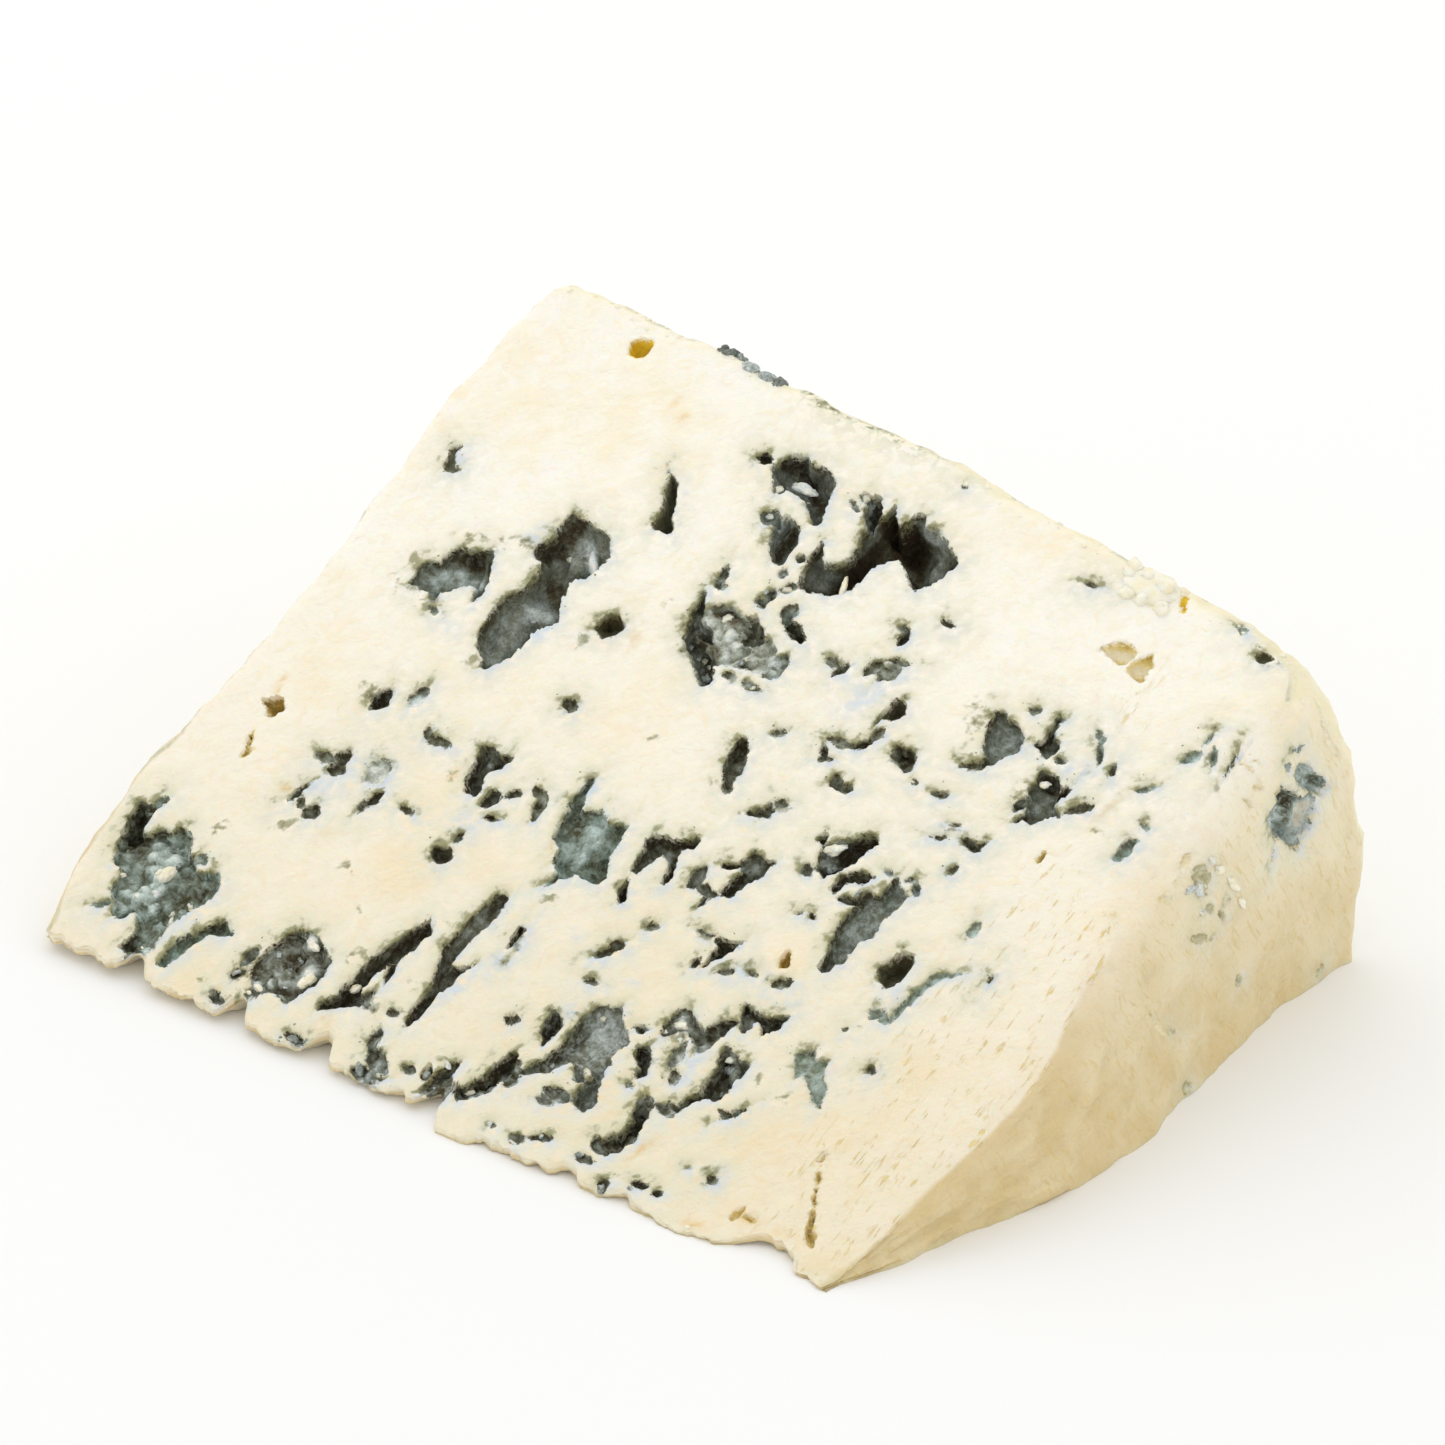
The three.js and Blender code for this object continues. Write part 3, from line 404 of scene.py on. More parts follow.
       (32.5, 58.9), (31.5, 57.9), (31.1, 56.7), (30, 56.1), (29.3, 56), (29.9, 57), (28.6, 57.9),
       (27.7, 59.2), (27.2, 60.8))),
      (2.6, 0.5, ((33.9, 64.5), (34.7, 64.4), (34.6, 62.9), (35, 62), (36.1, 62), (36.6, 60.8), (35.8, 59.6),
       (34.9, 60.1), (33.2, 60.6), (34.2, 61.4))),
      (3.4, 0.4, ((36.2, 58.3), (37.4, 58.4), (38.3, 58.3), (39.6, 57.8), (39.9, 56.4), (40.2, 58.2),
       (40.9, 57.6), (40.8, 56.4), (40.2, 55.3), (41.1, 54.9), (42, 54.8), (40.8, 53.9), (39.9, 52.6),
       (38.6, 52.4), (37.5, 51.6), (38, 53.2), (37.4, 54.8), (36.4, 55.8), (36.7, 57)))],
     "rows": [(37.6, 60, 0.9, 0.5, 0, 0.8), (30.9, 63.8, 0.7, 0.4, 20, 0.8), (36.9, 53.8, 0.6, 1, 0, 0.6)],
     "parts": [(28.3, 60.3, 0.8, 1.8, 15, 2, 0.3), (30.8, 59.2, 1.3, 1.9, 0, 2.2, 0.56),
      (30.2, 61.4, 1.8, 0.35, -8, 1.6, 0.16), (30.5, 57, 0.8, 0.7, 0, 2.8, 0.3),
      (34.6, 61, 1.2, 0.7, -20, 2.4, 0.14), (39.1, 57, 1.1, 0.7, -30, 3.4, 0.04),
      (40.5, 57.2, 0.4, 1, 0, 2.6, 0.1), (39.3, 54.2, 1.2, 1, 0, 1.6, 0.44),
      (39, 52.9, 1.2, 0.25, 20, 2.6, 0.14), (36.8, 57.9, 0.6, 0.4, 0, 1.2, 0.35)]},
    "tealBits": {"look": (0.85, 1, 0, 0.3, 0.4), "tone": 0.55,
     "outlines": [(2, 0.4, ((50.3, 55.7), (51.6, 55.7), (51.8, 54.2), (51.1, 52.8), (50.2, 52.8),
       (50.1, 54.2))),
      (1.1, 0.5, ((33.9, 19.6), (35.5, 21.2), (36.7, 20), (38, 20.4), (38.4, 18.9), (39.9, 17.6),
       (40.8, 15.3), (39.2, 16), (37.4, 17.6), (36.4, 18.2), (35.8, 17.2), (35.2, 18.2))),
      (0.9, 0.5, ((40.4, 27.8), (41, 30.8), (41.4, 33.2), (42.7, 34.3), (44.6, 34.6), (43, 33.6), (42.1, 32),
       (41.8, 29.5), (41.1, 27.2)))],
     "rows": [(39.6, 64.3, 1, 0.5, -30, 1), (41, 62.4, 1.6, 0.4, -55, 1.5), (50.3, 66.5, 1.1, 0.6, 60, 1),
      (50.7, 69, 0.9, 0.3, 80, 0.7), (52.6, 67.4, 1.3, 0.4, -55, 1), (39, 27.2, 1.1, 0.7, 0, 1),
      (40.4, 26.9, 0.8, 0.5, 0, 0.9), (42.1, 39.6, 0.6, 1.1, 10, 0.5), (51.3, 57.4, 0.7, 0.4, 0, 0.5),
      (48.3, 61.2, 1.1, 0.4, 40, 0.5), (45.4, 81.6, 1, 0.5, -40, 0.4)],
     "parts": [(50.8, 55, 0.5, 0.9, 0, 1.4, 0.3), (51.3, 53.7, 0.5, 0.7, 0, 1, 0.55),
      (35.3, 20.4, 0.9, 0.5, -30, 0.8, 0.3), (38.4, 18.2, 1.4, 0.7, -45, 0.7, 0.62),
      (36.3, 18.6, 0.8, 0.4, -50, 0.8, 0.34)]},
    "tornPair": {"look": (1, 0.05, 0.05, 0.1, 0.4), "tone": 0.3,
     "outlines": [(6, 0.35, ((20, 41.1), (21.8, 42.3), (23.6, 43.9), (24.9, 44.3), (25.9, 43.4), (25, 42),
       (24.6, 40.4), (23.6, 38.9), (22.7, 38), (21.4, 38.5), (20.4, 39.8))),
      (3, 0.5, ((24.3, 38.9), (25.3, 39.9), (26.8, 40.2), (28, 40.2), (27.4, 39.2), (26.6, 38.8),
       (25.6, 38.4), (25.6, 37.2), (24.9, 36.8), (24.3, 37.4)))],
     "rows": [(20.4, 37.9, 1, 0.6, -30, 1.6), (27.2, 36.9, 1.4, 0.5, 15, 1.4), (19.6, 41.6, 0.6, 0.5, 0, 1),
      (28.4, 38, 0.9, 0.6, 40, 1.6)],
     "parts": [(24.1, 41.7, 2.6, 0.9, 62, 6, 0), (21.4, 41.2, 1.3, 0.8, 40, 0.8, 0.92),
      (20.6, 39.7, 1.5, 0.3, -55, 2.5, 0.15), (22.4, 39.4, 1.2, 0.5, 20, 1.4, 0.7),
      (24.8, 38.6, 0.6, 0.9, 0, 2.6, 0.18), (27, 39.6, 0.9, 0.4, -20, 2, 0.22)]},
    "slateLeaf": {"look": (1, 0.2, 0, 0.2, 0.35), "tone": 0.5,
     "outlines": [(4.2, 0.2, ((30.3, 41.3), (31.1, 40.5), (31.8, 40.2), (33, 39.8), (32.8, 38.2),
       (32.1, 36.4), (32.4, 34.5), (31.4, 33.2), (31.3, 31.7), (31.7, 30.4), (30.8, 30.1), (30.6, 28.8),
       (29.5, 28.9), (28.9, 30.8), (28.4, 32.9), (27.9, 34.8), (28.2, 37), (28.9, 37.9), (29.9, 38.6),
       (30, 40.1)))],
     "rows": [(33.2, 40.9, 0.8, 0.5, -50, 1.4), (29, 41.2, 0.8, 0.3, 0, 1), (31.9, 41.5, 0.7, 0.3, 20, 0.8)],
     "parts": [(28.8, 34, 0.45, 3.2, -6, 1.4, 0.16), (30.5, 35.2, 1.2, 2, 0, 2.4, 0.58),
      (31.6, 38.4, 0.9, 1.4, 0, 2.4, 0.48), (30.4, 38.6, 0.5, 1.6, 0, 1.4, 0.24),
      (30.9, 32.2, 0.7, 1.2, 0, 2.8, 0.5), (30.1, 30, 0.6, 1, -20, 2.6, 0.22)]},
    "longChannels": {"look": (1, 0, 0.05, 0.1, 0.3), "tone": 0.3,
     "outlines": [(6, 0.35, ((-14.8, 16.5), (-13.8, 15.1), (-14.3, 13.9), (-14.8, 11.6), (-15.6, 10.8),
       (-16.3, 8.9), (-16.5, 7), (-15.3, 5.1), (-16.5, 4.7), (-17.8, 4), (-19.4, 3), (-20, 3.9),
       (-18.7, 5.4), (-18.4, 8.2), (-17.9, 10.8), (-16.7, 13.2), (-16, 15))),
      (3.6, 0.35, ((-9.9, 21.9), (-8.5, 22.1), (-8.1, 20.1), (-8.4, 18.2), (-9, 16.4), (-9.3, 14.5),
       (-9.2, 12.9), (-8.1, 13.2), (-6.3, 14.3), (-7, 12.9), (-7.4, 11.4), (-8.1, 9.5), (-8.1, 7.3),
       (-8.4, 5.3), (-9.3, 5.8), (-9.6, 7.3), (-9.3, 10.1), (-10.2, 12), (-11.3, 14.5), (-10.9, 16.4),
       (-10.6, 19.5))),
      (3, 0.5, ((-5, 19.9), (-4.3, 20.1), (-4, 18.6), (-3.9, 17.2), (-4.4, 16.9), (-4.8, 18.2)))],
     "rows": [(-15, 10, 1.4, 0.35, -78, 2.6), (-15.2, 6.6, 0.8, 0.5, 60, 1.2), (-11.2, 6, 0.8, 0.5, 0, 1),
      (-3.5, 18.2, 1.5, 0.3, 102, 0.6), (-15, 5.8, 0.9, 0.5, -20, 1)],
     "parts": [(-15.1, 13.4, 0.8, 2.6, -18, 5.5, 0.08), (-16.8, 9.4, 0.8, 2.8, -10, 5, 0.16),
      (-17.8, 5, 1.5, 0.9, 20, 4.5, 0.08), (-16.6, 12.3, 0.25, 1.5, -8, 1, 0.62),
      (-17.8, 9, 0.3, 2.6, -12, 1, 0.45), (-9.9, 17.6, 0.5, 2.4, -8, 1, 0.62),
      (-8.9, 20.8, 0.5, 1.1, 0, 3, 0.1), (-10.7, 15.4, 0.3, 2.4, -4, 1.6, 0.16),
      (-9, 18, 0.35, 2.2, -10, 1.8, 0.3), (-8.2, 12, 1, 0.6, 20, 2.4, 0.14),
      (-8.8, 8, 0.5, 1.9, 0, 1.8, 0.3), (-4.4, 18.2, 0.35, 1.3, -8, 2.6, 0.12),
      (-3.4, 18, 0.4, 1.3, -8, 0.4, 0.92)]},
    "cornerBasin": {"look": (1, 0.6, 0.05, 0.15, 1), "tone": 0.6,
     "outlines": [(3.4, 0.4, ((-50, 14.5), (-49.2, 14.5), (-47.8, 13.9), (-46.7, 12), (-45.4, 11.8),
       (-44.5, 10.5), (-43.2, 11.2), (-42, 11.8), (-40.8, 10.8), (-40.3, 9.5), (-40.8, 8.2), (-41.7, 7),
       (-42.8, 5.4), (-42.9, 3.9), (-42.6, 2), (-43.2, 0.7), (-44.8, 0.1), (-46.7, 0.4), (-46.1, 2.3),
       (-47, 3.9), (-47.9, 4.2), (-48.6, 3.2), (-50.1, 2.8), (-51.1, 4.5), (-52.7, 5.4), (-52.7, 6.7),
       (-53.2, 8.2), (-54.6, 8.1), (-55.8, 10.1), (-56.7, 13.2), (-56.9, 15.1), (-55.1, 15.1), (-54.8, 16.4),
       (-53.7, 16.9), (-54.3, 14.8), (-54.2, 12.9), (-53.2, 12), (-51.7, 13.6), (-50.4, 13.6)))],
     "rows": [(-44.9, 12.3, 0.9, 0.4, -20, 0.8), (-52.3, 3.6, 1.1, 0.4, 30, 0.5)],
     "parts": [(-55, 12.6, 0.9, 2.8, 14, 4, 0.18), (-56.2, 13.6, 0.4, 1.8, 10, 1, 0.34),
      (-53, 10.6, 1.2, 0.9, -45, 4.5, 0.02), (-51.5, 13, 1.2, 0.5, 20, 1.6, 0.28),
      (-48.5, 13.4, 2, 0.3, -30, 1.8, 0.24), (-49.9, 10.6, 1.8, 1.2, 0, 0.9, 0.76),
      (-47.6, 9.4, 1.2, 1.8, 0, 0.5, 0.98), (-51.2, 8.9, 1.4, 0.6, -30, 1.4, 0.5),
      (-50.2, 8.2, 1, 0.4, -25, 1.6, 0.3), (-50.6, 6.2, 1.9, 1, 0, 0.9, 0.74),
      (-48.6, 6, 1.4, 1.2, 40, 0.7, 0.86), (-50.4, 4.2, 0.9, 0.9, 0, 1, 0.6),
      (-45.2, 9.4, 1.6, 1.2, 0, 1.8, 0.42), (-42.8, 10.2, 1.6, 0.9, 20, 1, 0.6),
      (-42.2, 8.2, 1.4, 0.9, 40, 3, 0.24), (-44.4, 6.4, 1.6, 1.5, 0, 2.4, 0.42),
      (-44.2, 2.8, 1.1, 1.4, 0, 1.6, 0.55), (-45.8, 1.8, 0.9, 1.2, 0, 1.8, 0.34),
      (-44.6, 0.6, 1.6, 0.4, 0, 2.4, 0.2), (-46.6, 5.6, 0.6, 1.6, 20, 1, 0.72)]},
    "tealChannel": {"look": (1, 1, 0, 0.1, 0.4), "tone": 0.42,
     "outlines": [(2, 0.4, ((-37.3, 7.4), (-36, 6.9), (-34.7, 6.4), (-36.1, 5.9), (-37.3, 5.8), (-38.6, 3.9),
       (-39, 2.3), (-39.8, 0.4), (-41, 0.5), (-40.8, 3.6), (-39.5, 4.8), (-38.2, 6.4)))],
     "parts": [(-37.4, 6.6, 0.9, 0.6, 0, 1.6, 0.2), (-39.9, 2.4, 0.7, 1.6, -8, 1.2, 0.5),
      (-38.3, 5.2, 0.5, 1.2, -35, 1.6, 0.32)]},
    "ovalBasin": {"look": (1, 0.1, 0.08, 0.2, 0.9), "tone": 0.4,
     "outlines": [(3, 0.3, ((-29.8, 7), (-29.2, 8.9), (-27.3, 10.1), (-25.1, 9.8), (-23.2, 8.7),
       (-22.1, 8.3), (-21.6, 6.4), (-22.1, 4.8), (-23.5, 2.2), (-25.1, 2.9), (-26.7, 2.3), (-27.6, 1),
       (-28.6, 1), (-29, 2.3), (-29.8, 3.6), (-30.3, 4.8)))],
     "rows": [(-31.3, 5.2, 0.7, 1.4, -10, 1.4), (-31.2, 3, 1, 0.7, 20, 1.4),
      (-31.6, -0.2, 1.3, 0.5, -15, 1.4)],
     "parts": [(-25.8, 6.3, 1.3, 0.8, 0, 2.6, 0.04), (-27.6, 5.2, 1.6, 0.9, -25, 1.4, 0.5),
      (-28.4, 8, 0.8, 1.8, -35, 1.6, 0.3), (-25.8, 9, 1, 0.5, -25, 0.5, 1),
      (-23.4, 5.5, 0.8, 1.4, -20, 0.6, 0.98), (-28, 2.5, 0.8, 0.4, -20, 0.6, 0.98),
      (-24.2, 3.4, 1.4, 0.6, 20, 2.2, 0.12), (-26.2, 3.8, 1.3, 0.7, 10, 1.2, 0.6),
      (-22.8, 7.4, 0.9, 0.7, 0, 1.4, 0.4), (-31.3, 2.8, 0.5, 0.4, 0, 1.2, 0.2)]},
    "edgePockets": {"look": (1, 0.15, 0.05, 0.1, 0.9), "tone": 0.34,
     "outlines": [(4, 0.4, ((-1.6, 1), (-1.5, 2), (-0.7, 3.9), (0.2, 4.4), (0.3, 2.6), (1, 1.4), (2.6, 2),
       (3.2, 3.2), (4, 5.4), (4.3, 7.3), (5.2, 8), (5.8, 6.1), (5.9, 3.9), (5.4, 2.5), (4.1, 1.1),
       (3.2, 0.3), (1.9, 1), (1.6, -0.6), (-1.6, -0.8)))],
     "rows": [(-19.4, -0.8, 1.7, 0.5, -5, 0.9), (-11, 3.4, 1, 0.6, -60, 1.2),
      (-10.8, 2.2, 1.2, 0.6, -50, 1.4), (-8.6, 0.6, 2.2, 1, -25, 1.8), (-9.4, -1.4, 1.4, 0.9, 0, 1.6),
      (-7.6, -1.6, 1.4, 0.4, 30, 1.2), (-4.6, 1.2, 0.8, 0.6, 0, 0.8), (-2.6, 1.6, 0.5, 1, 20, 0.7),
      (6.6, 5, 0.9, 1.1, 0, 1.6), (7.1, 4.5, 0.5, 0.8, 0, 1), (15, 0.2, 1.3, 0.6, 20, 1.4),
      (12.7, -1.1, 1.1, 0.8, 0, 0.8), (9, -0.8, 0.5, 0.25, -20, 0.8), (25.4, -1.6, 0.8, 0.8, 0, 1.2),
      (28.9, 0, 1.1, 0.5, 0, 1.2), (31.2, 0.1, 0.7, 0.5, 20, 1), (6.2, 6.4, 0.7, 0.6, 0, 1)],
     "parts": [(-0.4, 1.4, 1, 2.2, -10, 2.6, 0.3), (4.9, 5, 0.8, 2.4, -8, 4, 0.06),
      (2.6, 1.2, 1.2, 0.5, 20, 2.4, 0.3), (-8.4, -1.2, 1.6, 0.5, 25, 0.8, 0.6),
      (-8.6, 0.8, 1.2, 0.5, -20, 1.2, 0.45)]},
    "greyLeaf": {"look": (1, 0.05, 0, 0.3, 0.35), "tone": 0.45,
     "outlines": [(3.8, 0.25, ((9.9, 15.8), (11.3, 16.2), (12.3, 16.8), (13.5, 15.5), (14.9, 14.5),
       (16.1, 13.6), (15.2, 12), (15.7, 10.4), (16.3, 8.2), (17.5, 6), (16.8, 4.9), (15.1, 5.1), (14.3, 7),
       (14.8, 8.9), (13.2, 9.5), (11.3, 8.9), (10.1, 7.3), (8.2, 6), (7.2, 5.7), (7.6, 7), (8.7, 8.9),
       (9.1, 10.8), (9, 13.2), (9.3, 14.8))),
      (4, 0.5, ((5.7, 13.3), (7.3, 12.7), (7.8, 11.4), (7.3, 9.4), (6, 10.7), (5.4, 12))),
      (4, 0.5, ((17.1, 13.7), (18.2, 14.2), (19.8, 12.7), (20.4, 11), (19.6, 10.5), (18.8, 11.6),
       (17.6, 12.6)))],
     "rows": [(12.7, 5.4, 1.8, 0.7, 0, 1.2), (11.9, 4.2, 1.2, 0.5, 0, 0.8), (13.3, 8.4, 1.3, 0.6, -40, 1),
      (10.9, 15.4, 1, 0.5, 20, 1.6), (16.2, 15.4, 1, 0.4, 10, 1.2)],
     "parts": [(13.2, 13, 1.9, 1.9, 0, 2, 0.72), (10.6, 11.4, 1.2, 1.4, 0, 2.6, 0.34),
      (9.6, 8.2, 1.4, 0.9, 55, 2.6, 0.26), (11, 15.2, 1.3, 0.7, 0, 1.2, 0.5),
      (15.8, 7, 0.9, 1.8, -25, 2.2, 0.42), (15, 10.4, 0.6, 1.4, -10, 1.6, 0.36),
      (6.9, 11.2, 0.6, 1.5, 10, 4, 0.05), (6, 11.9, 0.3, 1.2, 0, 1, 0.55),
      (18.9, 12.2, 1.8, 0.6, -55, 3.6, 0.12), (12.4, 5.4, 1.2, 0.5, 0, 0.8, 0.4),
      (14.4, 14.2, 1.2, 0.3, -40, 1.2, 0.3)]},
    "ringBasins": {"look": (1, 0.1, 0.1, 0.2, 0.9), "tone": 0.45,
     "outlines": [(2.6, 0.4, ((18, 16.4), (18.5, 18.9), (19.9, 19.3), (21.4, 18.4), (22.7, 18.3),
       (23.9, 19.9), (25.5, 20.5), (25, 18.2), (24.7, 16.4), (23.6, 15), (22.7, 16.3), (21.1, 17.2),
       (19.9, 16.6), (18.9, 15.3))),
      (3, 0.45, ((24.8, 22.4), (27.1, 22), (28.9, 22.4), (30.3, 23), (30.1, 21), (28.9, 19.9), (28, 21.2),
       (27.2, 20.9), (27.1, 19.1), (26.3, 19.7), (25.4, 20.9))),
      (5.5, 0.3, ((26.2, 17.5), (27.4, 17.3), (28.9, 16.8), (30.2, 16.8), (30.1, 14.5), (29.7, 12),
       (28.3, 11.4), (26.8, 9.9), (26, 10), (27.1, 11.7), (26.9, 13.2), (27.1, 15.1), (26.3, 16))),
      (5, 0.5, ((21.5, 9), (22.7, 8.3), (23.9, 7.3), (24.2, 5.4), (24.8, 4.3), (23.8, 2.8), (23.2, 1.4),
       (22, 1.4), (20.7, 1.9), (21.4, 3.6), (22.4, 4.5), (22.7, 6.1), (21.8, 7.3)))],
     "rows": [(25, 8.6, 1.3, 0.5, -10, 1.2), (25.8, 9.4, 1, 0.4, 0, 1.4), (22.9, 8.6, 1.2, 0.4, -45, 1.2),
      (21.9, 14.4, 0.8, 1.8, 10, 0.9), (23.4, 12.2, 0.7, 0.9, 20, 0.9), (20.8, 2.4, 0.8, 0.5, -30, 1.8),
      (21.2, 0.2, 1.4, 0.5, 0, 0.8), (19.4, 9.4, 0.6, 0.3, 0, 0.5)],
     "parts": [(19.8, 17.6, 1, 0.6, 0, 0.5, 0.95), (18.6, 17.8, 0.4, 1.2, 0, 1.6, 0.24),
      (20.9, 18.4, 0.8, 0.4, -20, 1.4, 0.26), (24.2, 18, 0.7, 1.8, -20, 2, 0.3),
      (23.9, 15.8, 0.5, 0.8, 0, 0.8, 0.75), (26.6, 21.6, 1.4, 0.4, 0, 2.4, 0.12),
      (29.4, 21.6, 0.7, 1, 0, 2.4, 0.2), (28.2, 16, 1.6, 0.8, 0, 1.6, 0.4),
      (28.4, 13.2, 1, 1.8, -10, 5, 0.1), (29.4, 15.2, 0.5, 0.9, 0, 2, 0.3),
      (23.3, 5.4, 0.7, 2.4, -8, 4.6, 0.12), (22.4, 7.8, 0.5, 1.1, 20, 1.4, 0.4),
      (22.6, 2.6, 0.9, 0.6, 0, 2.4, 0.3), (22.9, 8.4, 0.8, 0.2, -45, 1, 0.5)]},
    "cornerCrack": {"look": (0, 0, 0.8, 0, 0), "tone": 0.5,
     "rows": [(44.6, 11.2, 1.4, 0.12, -60, 1.4), (46, 8.8, 0.9, 0.28, -58, 2),
      (47.2, 6.8, 1.2, 0.18, -58, 2), (48.6, 4.6, 1.6, 0.3, -60, 2.6), (49.8, 2.9, 1.2, 0.5, -50, 2.6),
      (42.4, 1.9, 0.9, 0.4, 0, 1.2), (40.7, 1.8, 0.5, 1, -20, 1.2)]},
}
endOpenings = {  # the same on the near end, where the first two numbers of a place are Y and Z
    "endCave": {"look": (1, 0.35, 0, 0.35, 0.4), "tone": 0.6,
     "outlines": [(3.4, 0.5, ((72.4, 24.8), (73.2, 25.6), (74, 26.3), (75, 27.8), (76, 27.1), (76.9, 26.5),
       (77.9, 25.6), (79.1, 24.8), (80.7, 24.6), (80.9, 22.7), (81.2, 21.2), (80.8, 20), (79.7, 18.8),
       (78.8, 18.3), (77.4, 19.4), (76.2, 20.6), (75, 21.4), (73.9, 22.1), (73.1, 23.6))),
      (2.2, 0.4, ((77.7, 29.2), (79, 29.1), (80.3, 27.8), (81.6, 26.3), (82.9, 25.5), (83.3, 24.6),
       (81.8, 23.8), (81.2, 24.5), (79.4, 25.6), (78.2, 26.5), (77.7, 27.7)))],
     "rows": [(76, 29.7, 0.5, 0.6, 0, 0.8), (78.2, 31, 0.6, 0.4, 0, 0.6), (77, 31.7, 0.3, 0.3, 0, 0.5),
      (73.8, 19.8, 0.9, 0.3, 60, 0.4)],
     "parts": [(75.8, 26, 1.5, 0.8, -35, 3.4, 0.08), (74.4, 24.2, 1, 1.5, -20, 1.4, 0.8),
      (78.8, 22.8, 1.1, 1.7, -15, 0.3, 1.3), (77.3, 22.6, 0.5, 1.8, 30, 2.6, 0.4),
      (79, 19.8, 1.2, 0.8, 0, 1.8, 0.62), (80.7, 21.6, 0.4, 1.3, 0, 2, 0.45),
      (78.6, 25, 1.2, 0.3, -30, 2, 0.2), (79.2, 27.4, 1.2, 1, -40, 1.4, 0.7),
      (81.4, 25.8, 1.6, 0.35, -40, 1.8, 0.2), (82.2, 24.7, 0.8, 0.5, 0, 0.8, 0.6)]},
    "endOchre": {"look": (0.1, 0, 0.8, 0, 0.3), "tone": 0.86,
     "rows": [(58.3, 25.8, 1.6, 0.5, 30, 1), (56.6, 24.2, 0.9, 0.5, 40, 0.8),
      (54.5, 22.8, 1.3, 0.5, -20, 0.8), (71, 29.3, 1, 0.4, -10, 0.9), (69.1, 28.3, 0.8, 0.3, -50, 0.8),
      (69.8, 32, 1.2, 0.2, -55, 0.6), (71.3, 32.2, 1.2, 0.15, -60, 0.5), (49.2, 11.6, 1.8, 0.4, -58, 0.9),
      (50.6, 9.6, 1.4, 0.3, -50, 0.8), (83, 32, 3.6, 0.35, -72, 0.8), (84.4, 28.4, 1.2, 0.4, -60, 0.7),
      (87.3, 15.6, 1, 0.3, 45, 0.6)]},
    "endBroken": {"look": (0.5, 0.4, 0.4, 0.3, 0.9), "tone": 0.72,
     "rows": [(60.4, 23.2, 2, 1.4, -50, 0.7), (62.2, 18.4, 0.9, 0.5, -40, 1), (61.4, 20.6, 0.6, 0.4, 0, 0.7),
      (65.1, 18.1, 0.7, 0.6, -50, 0.9), (64.3, 16.6, 0.9, 0.4, -55, 0.9), (60.6, 15.4, 1.4, 0.4, -15, 0.7),
      (62.8, 14.6, 0.7, 0.4, 0, 0.5), (66.7, 7.7, 0.7, 0.8, 30, 0.5), (52.8, 8.2, 1.2, 0.3, -30, 0.5),
      (54.5, 0.8, 1, 0.6, 0, 0.6), (83.5, 1.2, 1, 0.6, 0, 0.6), (62, 22, 0.7, 0.7, 0, 0.8)]},
}
